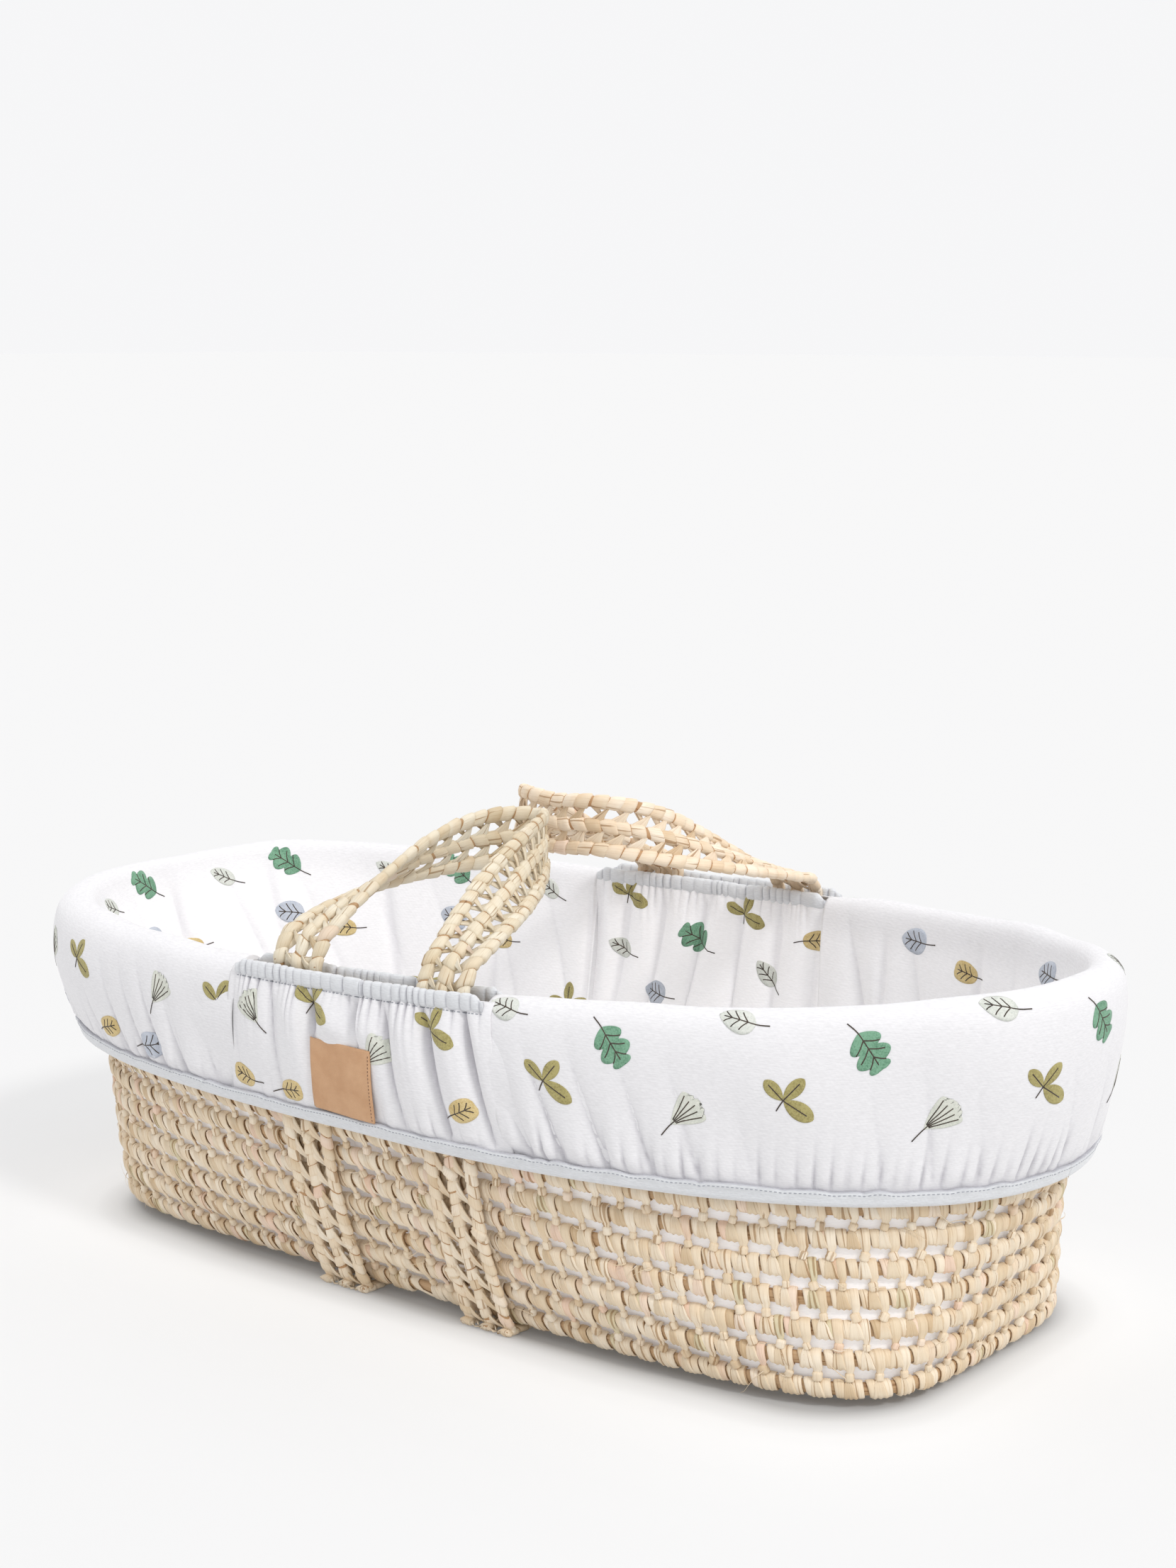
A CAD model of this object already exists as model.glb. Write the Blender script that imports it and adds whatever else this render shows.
"""Moses basket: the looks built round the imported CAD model.

Everything is in metres in the CAD frame: +X is the head end, -Y the near long side, +Z up.
"""

import math
from collections import namedtuple

import bpy
import numpy as np
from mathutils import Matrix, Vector


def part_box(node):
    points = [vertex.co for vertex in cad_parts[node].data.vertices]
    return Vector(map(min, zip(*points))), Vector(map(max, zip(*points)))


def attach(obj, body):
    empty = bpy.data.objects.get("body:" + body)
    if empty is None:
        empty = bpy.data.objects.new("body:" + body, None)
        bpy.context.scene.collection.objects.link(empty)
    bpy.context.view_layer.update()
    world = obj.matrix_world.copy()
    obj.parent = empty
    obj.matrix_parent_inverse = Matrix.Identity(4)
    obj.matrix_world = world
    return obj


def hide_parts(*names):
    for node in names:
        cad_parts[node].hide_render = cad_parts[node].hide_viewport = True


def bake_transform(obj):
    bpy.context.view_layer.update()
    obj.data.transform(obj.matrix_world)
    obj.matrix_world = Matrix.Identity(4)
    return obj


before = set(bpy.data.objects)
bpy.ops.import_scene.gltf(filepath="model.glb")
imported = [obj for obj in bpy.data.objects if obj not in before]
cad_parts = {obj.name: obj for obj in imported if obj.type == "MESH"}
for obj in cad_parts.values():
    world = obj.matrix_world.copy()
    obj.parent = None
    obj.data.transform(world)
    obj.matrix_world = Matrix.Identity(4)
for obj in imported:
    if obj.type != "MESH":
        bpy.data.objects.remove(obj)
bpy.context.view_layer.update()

MM = 0.001
TAU = 2 * math.pi

# ---------------------------------------------------------------- the basket's outline
# The same rules as the CAD model's, so that every piece lies on its solid.
BASE_HALF = (0.361, 0.151)
RIM_HALF = (0.430, 0.207)
BASE_SHIFT = 0.007
SQUARE_LOW = (5.2, 7.0)  # head end, foot end
SQUARE_TOP = (2.1, 3.0)
SIDE_FLARE = 2.4
ROW_COUNT = 12


def node_box(name):
    """A CAD node's lowest and highest corner as arrays."""
    low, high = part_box(name)
    return np.array(low), np.array(high)


ROW_BOX = [node_box(f"wall_row_{i:02d}") for i in range(1, ROW_COUNT + 1)]
ROW_Z = [(low[2] + high[2]) / 2 for low, high in ROW_BOX]
ROW_H = ROW_BOX[0][1][2] - ROW_BOX[0][0][2]
ROW_T = 8 * MM
ROW_PITCH = ROW_Z[1] - ROW_Z[0]
RIM_Z = ROW_BOX[-1][1][2]
BASE_LOW, BASE_HIGH = (v[2] for v in node_box("base_rows"))
MAT_LOW, MAT_HIGH = node_box("mattress_cover_base")[0], node_box("mattress_cover_top")[1]


def signed_power(v, e):
    """v to the power e with v's own sign, for rounded rectangles."""
    return np.sign(v) * np.abs(v) ** e


def squareness(to_head, share):
    """How square the outline is towards the head or the foot, at a share of the rim's height."""
    low, top = np.where(to_head, *SQUARE_LOW), np.where(to_head, *SQUARE_TOP)
    return top + (low - top) * (1 - share) ** 4


def half_sizes(share, off):
    """The outline's half length and half width, moved outwards by off."""
    a = BASE_HALF[0] + (RIM_HALF[0] - BASE_HALF[0]) * share + off
    b = BASE_HALF[1] + (RIM_HALF[1] - BASE_HALF[1]) * (1 - (1 - share) ** SIDE_FLARE) + off
    return a, b


def outline(t, z, off=0.0):
    """Points of the wall's outline at angle t and height z, moved outwards by off."""
    t, z, off = np.broadcast_arrays(t, z, off)
    share = np.clip(z / RIM_Z, 0, 1)
    a, b = half_sizes(share, off)
    c, s = np.cos(t), np.sin(t)
    e = 2 / squareness(c >= 0, share)
    x = a * signed_power(c, e) + BASE_SHIFT * (1 - share)
    return np.stack([x, b * signed_power(s, e), z], axis=-1)


def run_along(points):
    """Length from the first point of a line to each of its points."""
    return np.concatenate([[0], np.cumsum(np.linalg.norm(np.diff(points, axis=0), axis=1))])


def between(at, run, values):
    """Rows of values, which lie at run along a line, mixed for the places at."""
    return np.stack([np.interp(at, run, values[:, k]) for k in range(values.shape[1])], axis=-1)


# Angle t for each share u of the way round (u = 0 at the middle of the head end), at a few heights
LEVELS = np.linspace(0, 0.25, 26)
ROUND = 2880  # steps of u


def angles_by_length(z):
    t = np.linspace(0, TAU, 5 * ROUND + 1)
    run = run_along(outline(t, z))
    return np.interp(np.arange(ROUND + 1) / ROUND * run[-1], run, t)


ANGLE_TABLE = np.array([angles_by_length(z) for z in LEVELS])


def angle_of(u, z):
    """The outline's angle at share u of the way round and height z."""
    u, z = np.broadcast_arrays(np.mod(u, 1.0), z)
    col = u * ROUND
    i = np.minimum(col.astype(int), ROUND - 1)
    fu = col - i
    lev = np.clip(z / LEVELS[1], 0, len(LEVELS) - 1.001)
    j = lev.astype(int)
    fz = lev - j

    def row(k):
        return ANGLE_TABLE[k, i] * (1 - fu) + ANGLE_TABLE[k, i + 1] * fu

    return row(j) * (1 - fz) + row(j + 1) * fz


def wall(u, z, off=0.0):
    """Points of the outline at share u of the way round."""
    return outline(angle_of(u, z), z, off)


def unit(v):
    return v / np.maximum(np.linalg.norm(v, axis=-1, keepdims=True), 1e-12)


def smooth(v):
    """An eased step from 0 to 1."""
    v = np.clip(v, 0, 1)
    return v * v * (3 - 2 * v)


# ---------------------------------------------------------------- meshes


class Soup:
    """Collects points and faces with a tone for each strip and a coordinate along its fibres."""

    def __init__(self):
        self.points, self.faces, self.tone, self.fibre = [], [], [], []
        self.count = 0

    def tubes(self, rings, tone, across, along, caps=True):
        """Tubes from rings (tubes, rings, corners, 3), with one tone each.

        across (corners) and along (tubes, rings) place each point on its fibres."""
        m, r, s = rings.shape[:3]
        grid = np.arange(m * r * s).reshape(m, r, s) + self.count
        nxt = np.roll(grid, -1, axis=2)
        quads = np.stack([grid[:, :-1], nxt[:, :-1], nxt[:, 1:], grid[:, 1:]], axis=-1)
        self.faces.append(quads.reshape(-1, 4))
        if caps:
            self.faces.append(grid[:, 0, ::-1])
            self.faces.append(grid[:, -1, :])
        self.points.append(rings.reshape(-1, 3))
        self.tone.append(np.repeat(tone, r * s))
        fib = np.empty((m, r, s, 3))
        fib[..., 0] = np.broadcast_to(across, (m, r, s))
        fib[..., 1] = along[:, :, None]
        fib[..., 2] = (tone * 91.7)[:, None, None]
        self.fibre.append(fib.reshape(-1, 3))
        self.count += m * r * s

    def make(self, name, *materials):
        mesh = bpy.data.meshes.new(name)
        faces = [f for block in self.faces for f in block.tolist()]
        mesh.from_pydata(np.concatenate(self.points).tolist(), [], faces)
        mark_points(mesh, "tone", np.concatenate(self.tone))
        mark_points(mesh, "fibre", np.concatenate(self.fibre))
        return finish_object(name, mesh, materials)


def mark_points(mesh, name, values):
    """Gives each point of a mesh a number, or a vector, that materials read by name."""
    kind, key = ("FLOAT_VECTOR", "vector") if values.ndim == 2 else ("FLOAT", "value")
    mesh.attributes.new(name, kind, "POINT").data.foreach_set(key, values.astype(np.float32).ravel())


def shade_smooth(mesh):
    mesh.polygons.foreach_set("use_smooth", np.ones(len(mesh.polygons), dtype=bool))


def finish_object(name, mesh, materials):
    shade_smooth(mesh)
    mesh.update()
    obj = bpy.data.objects.new(name, mesh)
    bpy.context.collection.objects.link(obj)
    for m in materials:
        mesh.materials.append(m)
    return obj


def place(obj, body, slot, *nodes):
    """Rides a piece on its body, in its slot, in place of the CAD nodes it stands for."""
    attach(obj, body)
    if nodes:
        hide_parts(*nodes)
    return obj


def wave(rng, s, length, period):
    """Smooth noise from -1 to 1 along s, with bumps about period apart; it closes after length."""
    cells = max(int(round(length / period)), 3)
    values = rng.uniform(-1, 1, cells)
    p = np.mod(s / length, 1) * cells
    i = p.astype(int) % cells
    f = smooth(p - np.floor(p))
    return values[i] * (1 - f) + values[(i + 1) % cells] * f


# ---------------------------------------------------------------- materials


def rgb(r, g, b):
    """Linear colour of an 8 bit sRGB one."""
    lin = [v / 255 / 12.92 if v <= 10 else ((v / 255 + 0.055) / 1.055) ** 2.4 for v in (r, g, b)]
    return (*lin, 1.0)


class Nodes:
    """A node tree and short calls that add its nodes."""

    def __init__(self, owner):
        owner.use_nodes = True
        self.tree = owner.node_tree

    def feed(self, node, inputs):
        """Links or sets the inputs of a node."""
        for key, value in dict(inputs).items():
            if isinstance(value, bpy.types.NodeSocket):
                self.tree.links.new(value, node.inputs[key])
            else:
                node.inputs[key].default_value = value

    def add(self, kind, inputs=(), **settings):
        node = self.tree.nodes.new(kind)
        for key, value in settings.items():
            setattr(node, key, value)
        self.feed(node, inputs)
        return node

    def attribute(self, name, output):
        return self.add("ShaderNodeAttribute", attribute_name=name).outputs[output]

    def place(self):
        return self.add("ShaderNodeTexCoord").outputs["Object"]

    def scaled(self, vector, scale):
        return self.add("ShaderNodeMapping", {"Vector": vector, "Scale": scale}).outputs[0]

    def noise(self, vector, scale, detail=3.0, rough=0.55):
        inputs = {"Vector": vector, "Scale": scale, "Detail": detail, "Roughness": rough}
        return self.add("ShaderNodeTexNoise", inputs).outputs["Fac"]

    def ramp(self, factor, stops):
        node = self.add("ShaderNodeValToRGB", {"Fac": factor})
        points = node.color_ramp.elements
        while len(points) < len(stops):
            points.new(0.5)
        for point, (where, colour) in zip(points, stops):
            point.position = where
            point.color = colour if hasattr(colour, "__len__") else (colour, colour, colour, 1)
        return node.outputs["Color"]

    def math(self, operation, a, b=0.0):
        return self.add("ShaderNodeMath", {0: a, 1: b}, operation=operation).outputs[0]

    def mix(self, factor, a, b, blend="MIX"):
        inputs = {0: factor, 6: a, 7: b}  # the sockets of its colour form
        return self.add("ShaderNodeMix", inputs, data_type="RGBA", blend_type=blend).outputs[2]

    def bump(self, height, strength, distance, normal=None):
        inputs = {"Height": height, "Strength": strength, "Distance": distance}
        if normal is not None:
            inputs["Normal"] = normal
        return self.add("ShaderNodeBump", inputs).outputs[0]


class Look(Nodes):
    """A material on Blender's principled shader."""

    def __init__(self, name, rough, **sockets):
        self.mat = bpy.data.materials.new(name)
        super().__init__(self.mat)
        self.shader = self.tree.nodes["Principled BSDF"]
        self.shader.inputs["Roughness"].default_value = rough
        self.set(**sockets)

    def set(self, **sockets):
        self.feed(self.shader, {key.replace("_", " "): value for key, value in sockets.items()})
        return self.mat


# Colour of a palm strip by its tone: stains, dry leaf from dark to pale, and the odd pink or green one
PALM_TONES = [
    (0.0, rgb(192, 154, 114)), (0.05, rgb(214, 190, 156)), (0.22, rgb(233, 216, 189)),
    (0.5, rgb(243, 229, 207)), (0.78, rgb(248, 238, 221)), (0.9, rgb(242, 215, 196)),
    (1.0, rgb(229, 222, 194)),
]
DAYLIGHT = (1.0, 0.985, 0.98, 1)  # colour of the light that comes through thin cloth


def palm_material(name, tint):
    """Dry palm leaf: each strip has its own tone, fine fibres along it, and darker edges."""
    n = Look(name, 0.55, Specular_IOR_Level=0.4)
    tone = n.attribute("tone", "Fac")
    fibre = n.attribute("fibre", "Vector")
    base = n.ramp(tone, PALM_TONES)
    streak = n.noise(n.scaled(fibre, (1500, 40, 3)), 1.0, 4.0, 0.6)
    fine = n.noise(n.scaled(fibre, (4200, 160, 7)), 1.0, 2.0, 0.5)
    shade = n.ramp(streak, [(0.28, (0.80, 0.72, 0.61, 1)), (0.5, 1), (0.75, (1.0, 0.99, 0.96, 1))])
    colour = n.mix(0.8, base, shade, "MULTIPLY")
    crease = n.noise(n.scaled(fibre, (420, 14, 11)), 1.0, 1.0, 0.4)
    lines = n.ramp(crease, [(0.335, (0.50, 0.37, 0.25, 1)), (0.36, 1)])
    colour = n.mix(0.8, colour, lines, "MULTIPLY")
    blotch = n.noise(n.scaled(fibre, (60, 60, 5)), 1.0, 2.0, 0.5)
    patch = n.ramp(blotch, [(0.3, (0.90, 0.80, 0.68, 1)), (0.55, 1)])
    colour = n.mix(0.6, colour, patch, "MULTIPLY")
    colour = n.mix(1.0, colour, tint, "MULTIPLY")
    height = n.math("ADD", n.math("MULTIPLY", streak, 0.7), n.math("MULTIPLY", fine, 0.3))
    rough = n.ramp(streak, [(0.3, 0.68), (0.7, 0.44)])
    return n.set(Base_Color=colour, Normal=n.bump(height, 0.5, 0.0004), Roughness=rough)


def cloth_material(name, colour, weave=2600, rough=0.8, tint=0.03, soft=0.25, thin=False):
    """Woven cotton: fine crossed threads, uneven colour, a soft sheen and a deeper tone in the folds.

    Thin cloth also lets some daylight through where its mesh carries the attribute "lit"."""
    n = Look(name, rough, Sheen_Weight=soft, Sheen_Roughness=0.5)
    if thin:
        n.set(Emission_Color=DAYLIGHT, Emission_Strength=n.attribute("lit", "Fac"))
    at = n.place()

    def threads_along(direction):
        inputs = {"Vector": at, "Scale": weave / TAU / 3}
        inputs |= {"Distortion": 1.5, "Detail": 2.0, "Detail Scale": 2.0}
        return n.add("ShaderNodeTexWave", inputs, bands_direction=direction).outputs["Fac"]

    threads = n.math("ADD", threads_along("Z"), threads_along("DIAGONAL"))
    slub = n.noise(n.scaled(at, (30, 30, 220)), 8.0)
    dark = tuple(c * (1 - 3 * tint) for c in colour[:3]) + (1,)
    shade = n.mix(n.ramp(slub, [(0.35, 0.0), (0.65, 1.0)]), dark, colour)
    fold = n.ramp(n.attribute("fold", "Fac"), [(0.0, 1), (1.0, (0.69, 0.68, 0.71, 1))])
    shade = n.mix(1.0, shade, fold, "MULTIPLY")
    return n.set(Base_Color=shade, Normal=n.bump(threads, 0.25, 0.00012, n.bump(slub, 0.15, 0.0003)))


def print_material(name, colour, dark):
    """A printed leaf: flat ink with a fine speckle and an uneven edge of shade."""
    n = Look(name, 0.8, Sheen_Weight=0.15)
    at = n.place()
    speck = n.noise(at, 900.0, 2.0, 0.7)
    cloud = n.noise(at, 90.0, 3.0, 0.6)
    mixed = n.math("ADD", n.math("MULTIPLY", speck, 0.6), n.math("MULTIPLY", cloud, 0.4))
    shade = n.ramp(mixed, [(0.38, dark), (0.56, colour)])
    return n.set(Base_Color=shade, Normal=n.bump(speck, 0.1, 0.0001))


WALL_SIDE_LIT, INNER_LIT = 0.21, 0.15  # daylight through the liner: on its side to the weave, and inside
COTTON = rgb(232, 231, 233)
PALM = palm_material("palm_leaf", tint=(0.935, 0.915, 0.885, 1))
WHITE = cloth_material("liner_cotton", COTTON, thin=True)
BACKING = cloth_material("liner_backing", COTTON)
BACKING_SHADER = BACKING.node_tree.nodes["Principled BSDF"].inputs
BACKING_SHADER["Emission Strength"].default_value = WALL_SIDE_LIT
BACKING_SHADER["Emission Color"].default_value = DAYLIGHT
GREY = cloth_material("binding_jersey", rgb(219, 221, 224), weave=3200, rough=0.85, tint=0.04, soft=0.35)

# ---------------------------------------------------------------- woven rows

TIES = 104  # ties round each gap
WEAVE_SEED = 11
PLAIN_TURNS = ((0.27, 3.4 * MM), (0.77, 3.2 * MM))  # place between two knots, and half width
FAN_HALF, TAIL_HALF, TOP_HALF = 6.1 * MM, 3.6 * MM, 4.6 * MM  # half widths of the other strips
FINE_ROWS = 7  # the rows in view below the skirt; their strips, and the rim row's, have more points


class Track:
    """A row's middle line: place, direction, up and outward direction at any share u of the way round."""

    def __init__(self, place, up, half_t, half_h):
        self.place = place
        step = np.roll(place, -1, axis=0) - np.roll(place, 1, axis=0)
        self.along = unit(step)
        self.up = unit(up - self.along * np.sum(up * self.along, axis=1, keepdims=True))
        self.out = np.cross(self.along, self.up)
        gaps = np.linalg.norm(np.roll(place, -1, axis=0) - place, axis=1)
        self.length = gaps.sum()
        self.half_t = half_t
        self.half_h = half_h  # one for each of the places

    def at(self, u):
        n = len(self.place)
        p = np.mod(u, 1.0) * n
        i = p.astype(int) % n
        f = (p - np.floor(p))[..., None]
        k = (i + 1) % n
        fields = (self.place, self.along, self.up, self.out)
        mixed = [v[i] * (1 - f) + v[k] * f for v in fields]
        return mixed + [self.half_h[i]]

    def surface(self, u, angle, lift=0.0):
        """Point, direction and normal on the rounded section; angle runs from its outer face to its top."""
        c, along, up, out, half_h = self.at(u)
        o = signed_power(np.cos(angle), 0.8) * self.half_t
        v = signed_power(np.sin(angle), 0.8) * half_h
        outward, upward = np.cos(angle) * half_h, np.sin(angle) * self.half_t
        normal = unit(out * outward[..., None] + up * upward[..., None])
        point = c + out * o[..., None] + up * v[..., None] + normal * np.asarray(lift)[..., None]
        return point, along, normal


def wall_tracks():
    """The middle lines of the wall's rows."""
    u = np.arange(ROUND) / ROUND
    middles = [wall(u, z, -ROW_T / 2) for z in ROW_Z]
    tracks = []
    for i, place in enumerate(middles):
        low, high = middles[max(i - 1, 0)], middles[min(i + 1, ROW_COUNT - 1)]
        rise = high - low
        steps = 1 if i in (0, ROW_COUNT - 1) else 2
        slope_pitch = np.linalg.norm(rise, axis=1) / steps
        half_h = ROW_H / 2 * (0.55 + 0.45 * slope_pitch / ROW_PITCH) * 0.79
        tracks.append(Track(place, rise, ROW_T / 2 * 0.88, half_h))
    return tracks


TRACKS = wall_tracks()
# Cross sections of a strip: (across from -1 to 1, height in thicknesses)
FLAT = np.array([(-1, -0.5), (-0.92, 0.35), (-0.5, 0.8), (0.1, 1.0), (0.7, 0.85), (0.97, 0.3), (1, -0.5)])
PLEATED = np.array([
    (-1, -0.6), (-0.95, 0.3), (-0.62, 0.95), (-0.34, 0.35), (0.0, 1.05), (0.33, 0.4), (0.66, 0.9),
    (0.96, 0.25), (1, -0.6),
])


def strips(soup, place, wide, normal, half, thick, profile, tone):
    """Strips with middle points place (strips, rings, 3), and the same profile all along."""
    c, h = profile[:, 0], profile[:, 1]
    rings = (
        place[:, :, None]
        + wide[:, :, None] * (half[..., None] * c)[..., None]
        + normal[:, :, None] * (thick[..., None] * h)[..., None]
    )
    gaps = np.linalg.norm(np.diff(place, axis=1), axis=2)
    along = np.concatenate([np.zeros((len(place), 1)), np.cumsum(gaps, axis=1)], axis=1)
    across = c * float(np.mean(half))
    soup.tubes(rings, tone, across, along)


def knot_share(gap):
    """Share u of each knot in the gap over row number gap (counted from 1)."""
    rng = np.random.default_rng(WEAVE_SEED + gap)
    jitter = rng.uniform(-0.09, 0.09, TIES)
    drift = 0.10 * gap
    return (np.arange(TIES) + 0.5 * (gap % 2) + drift + jitter) / TIES


def knot_place(gap, u):
    """Middle, direction, up and outward direction of the knots over row number gap."""
    low, high = TRACKS[gap - 1], TRACKS[gap]
    top, along, _ = low.surface(u, np.full(u.shape, math.pi / 2))
    foot = high.surface(u, np.full(u.shape, -math.pi / 2))[0]
    up, out = low.at(u)[2:4]
    return top * 0.66 + foot * 0.34 + out * 1.6 * MM, along, up, out


def lean_of(u):
    """How far a strip's lower end lies further round than its upper end: strong at the foot end."""
    return (4.6 - 2.4 * np.cos(TAU * u)) * MM


class RowWeave:
    """The strips wound round wall row i.

    Fans start under the knots above it, tails run down to the knots below it, and plain turns lie between."""

    def __init__(self, i, fine):
        self.i = i
        self.fine = fine
        self.rings = 9 if fine else 5
        self.track = TRACKS[i - 1]
        self.rng = np.random.default_rng(WEAVE_SEED * 7 + i)
        self.soup = Soup()
        self.phase = knot_share(i) if i < ROW_COUNT else knot_share(i - 1) + 0.5 / TIES

    def around(self, u, start, stop, lift):
        """Leaning courses round the row at u, from one angle in degrees to another."""
        lean = lean_of(u) * self.rng.uniform(0.8, 1.25, len(u))
        a = np.radians(np.linspace(start, stop, self.rings))[None, :] * np.ones((len(u), 1))
        shift = (0.5 - (np.sin(a) + 1) / 2) * lean[:, None]
        return self.track.surface(u[:, None] + shift / self.track.length, a, lift * np.ones_like(a))

    def tones(self, low):
        """Mostly middling tones, none darker than low, with a few pink and green ones."""
        t = np.clip(self.rng.normal(0.47, 0.2, TIES), low, 0.85)
        odd = self.rng.random(TIES)
        t = np.where(odd < 0.05, self.rng.uniform(0.86, 0.95, TIES), t)
        return np.where(odd > 0.97, 1.0, t)

    def lay(self, place, wide, normal, half, thick, low=0.05, profile=FLAT):
        thick = np.broadcast_to(thick, half.shape)
        strips(self.soup, place, wide, normal, half, thick, profile, self.tones(low))

    def core(self):
        """The plain rope under the strips."""
        steps = 240
        angles = np.linspace(0, TAU, 9)[:-1]
        uu, aa = np.meshgrid(np.arange(steps) / steps, angles, indexing="ij")
        place = self.track.surface(uu, aa, np.full(uu.shape, -0.9 * MM))[0]
        closed = np.concatenate([place, place[:1]])[None]
        along = (np.arange(steps + 1) * self.track.length / steps)[None]
        self.soup.tubes(closed, np.array([0.02]), np.linspace(-4, 4, 8) * MM, along, caps=False)

    def plain_turns(self):
        for part, width in PLAIN_TURNS:
            u = self.phase + (part + self.rng.uniform(-0.05, 0.05, TIES)) / TIES
            course = self.around(u, 125, -125, 0.1 * MM)
            half = np.linspace(1.12, 0.88, self.rings) * width * self.rng.uniform(0.85, 1.15, TIES)[:, None]
            self.lay(*course, half, 0.75 * MM)

    def fans(self):
        u = self.phase
        knot, along, _, out = knot_place(self.i, u)
        place, wide, normal = self.around(u, 62, -118, 0.35 * MM)
        place = np.concatenate([knot[:, None] - out[:, None] * 0.6 * MM, place], axis=1)
        wide = np.concatenate([along[:, None], wide], axis=1)
        normal = np.concatenate([out[:, None], normal], axis=1)
        grow = np.concatenate([[0.26], 0.34 + 0.72 * np.linspace(0, 1, self.rings) ** 0.7])
        half = grow * FAN_HALF * self.rng.uniform(0.86, 1.12, TIES)[:, None]
        thick = np.array([1.8] + [1.25] * self.rings) * MM
        self.lay(place, wide, normal, half, thick, 0.15, PLEATED if self.fine else FLAT)

    def top_turns(self):
        """In the rim row these take the fans' place."""
        place, wide, normal = self.around(self.phase, 130, -120, 0.35 * MM)
        self.lay(place, wide, normal, np.full(place.shape[:2], TOP_HALF), 0.95 * MM)

    def tails(self):
        u = knot_share(self.i - 1)
        knot, along, _, out = knot_place(self.i - 1, u)
        a = np.radians(np.linspace(125, -52, self.rings - 1))[None, :] * np.ones((TIES, 1))
        uu = u[:, None] - lean_of(u)[:, None] * 0.35 * (np.sin(a) + 0.8) / self.track.length
        place, wide, normal = self.track.surface(uu, a, np.full(a.shape, 0.55 * MM))
        place = np.concatenate([place, (place[:, -1:] + knot[:, None]) / 2, knot[:, None]], axis=1)
        wide = np.concatenate([wide, along[:, None], along[:, None]], axis=1)
        normal = np.concatenate([normal, out[:, None], out[:, None]], axis=1)
        taper = np.concatenate([np.linspace(1.0, 0.88, self.rings - 1), [0.6, 0.42]])
        half = taper * TAIL_HALF * self.rng.uniform(0.85, 1.15, TIES)[:, None]
        self.lay(place, wide, normal, half, 0.85 * MM, 0.2)


def weave_row(i, fine):
    row = RowWeave(i, fine)
    row.core()
    row.plain_turns()
    if i < ROW_COUNT:
        row.fans()
    else:
        row.top_turns()
    if i > 1:
        row.tails()
    return row.soup.make(f"row_{i:02d}_weave", PALM)


def lumps(soup, centre, along, up, out, size, rng, spin=0.25):
    """Small wound knots: barrels with a waist; size is (half width, half height, half depth)."""
    m = len(centre)
    turn = rng.uniform(-spin, spin, m)[:, None]
    a, b = along * np.cos(turn) + up * np.sin(turn), up * np.cos(turn) - along * np.sin(turn)
    v = np.array([-1.0, -0.82, -0.45, 0.0, 0.45, 0.82, 1.0])
    r = np.array([0.45, 0.86, 1.0, 0.9, 1.0, 0.86, 0.45])
    angles = np.linspace(0, TAU, 10)[:-1]
    c, s = signed_power(np.cos(angles), 0.75), signed_power(np.sin(angles), 0.75)
    scale = rng.uniform(0.82, 1.2, (m, 1, 1, 1))
    rings = (
        centre[:, None, None]
        + b[:, None, None] * (v[:, None] * size[1])[None, :, :, None] * scale
        + a[:, None, None] * (r[:, None] * c * size[0])[None, ..., None] * scale
        + out[:, None, None] * (r[:, None] * s * size[2])[None, ..., None] * scale
    )
    soup.tubes(rings, leaf_tones(rng, m, 0.2), angles * 3 * MM, np.broadcast_to(v * size[1], (m, len(v))))


def leaf_tones(rng, count, spread):
    return np.clip(rng.normal(0.5, spread, count), 0.1, 0.95)


def tie_knots(gap):
    """The knots in the gap over row number gap."""
    rng = np.random.default_rng(WEAVE_SEED * 13 + gap)
    soup = Soup()
    u = knot_share(gap)
    knot, along, up, out = knot_place(gap, u)
    lumps(soup, knot, along, up, out, (3.1 * MM, 3.0 * MM, 2.5 * MM), rng, spin=0.45)
    return soup.make(f"row_{gap:02d}_knots", PALM)


for number in range(1, ROW_COUNT + 1):
    weave = weave_row(number, number <= FINE_ROWS or number == ROW_COUNT)
    place(weave, "basket", "palm_rows", f"wall_row_{number:02d}")
for number in range(1, ROW_COUNT):
    place(tie_knots(number), "basket", "palm_ties", f"row_ties_{number:02d}")

# ---------------------------------------------------------------- lace of the bands and handles

RAIL_PITCH = 17.5 * MM
BAND_X = (node_box("right_band_rails")[0][0] + node_box("right_band_rails")[1][0]) / 2


def spline(points, step, closed=False):
    """Smooth curve through the points, with samples about step apart."""
    points = np.asarray(points, dtype=float)
    if closed:
        padded = np.concatenate([points[-1:], points, points[:2]])
    else:
        padded = np.concatenate([2 * points[:1] - points[1:2], points, 2 * points[-1:] - points[-2:-1]])
    t = np.linspace(0, 1, 24, endpoint=False)[:, None]
    out = []
    for a, b, c, d in zip(padded, padded[1:], padded[2:], padded[3:]):
        square, cube = 2 * a - 5 * b + 4 * c - d, 3 * b - a - 3 * c + d
        out.append(0.5 * (2 * b + (c - a) * t + square * t**2 + cube * t**3))
    curve = np.concatenate(out + [padded[-2:-1]])
    run = run_along(curve)
    return between(np.linspace(0, run[-1], max(int(round(run[-1] / step)), 4) + 1), run, curve)


class Ribbon:
    """A flat strip's middle line with its direction, its width direction and its outer side."""

    def __init__(self, place, wide):
        self.place = place
        self.along = unit(np.gradient(place, axis=0))
        self.wide = unit(wide - self.along * np.sum(wide * self.along, axis=1, keepdims=True))
        self.out = np.cross(self.along, self.wide)
        self.run = run_along(place)

    def at(self, s):
        return [between(s, self.run, v) for v in (self.place, self.along, self.wide, self.out)]

    def offset(self, k):
        return Ribbon(self.place + self.wide * k * RAIL_PITCH, self.wide)


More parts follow.
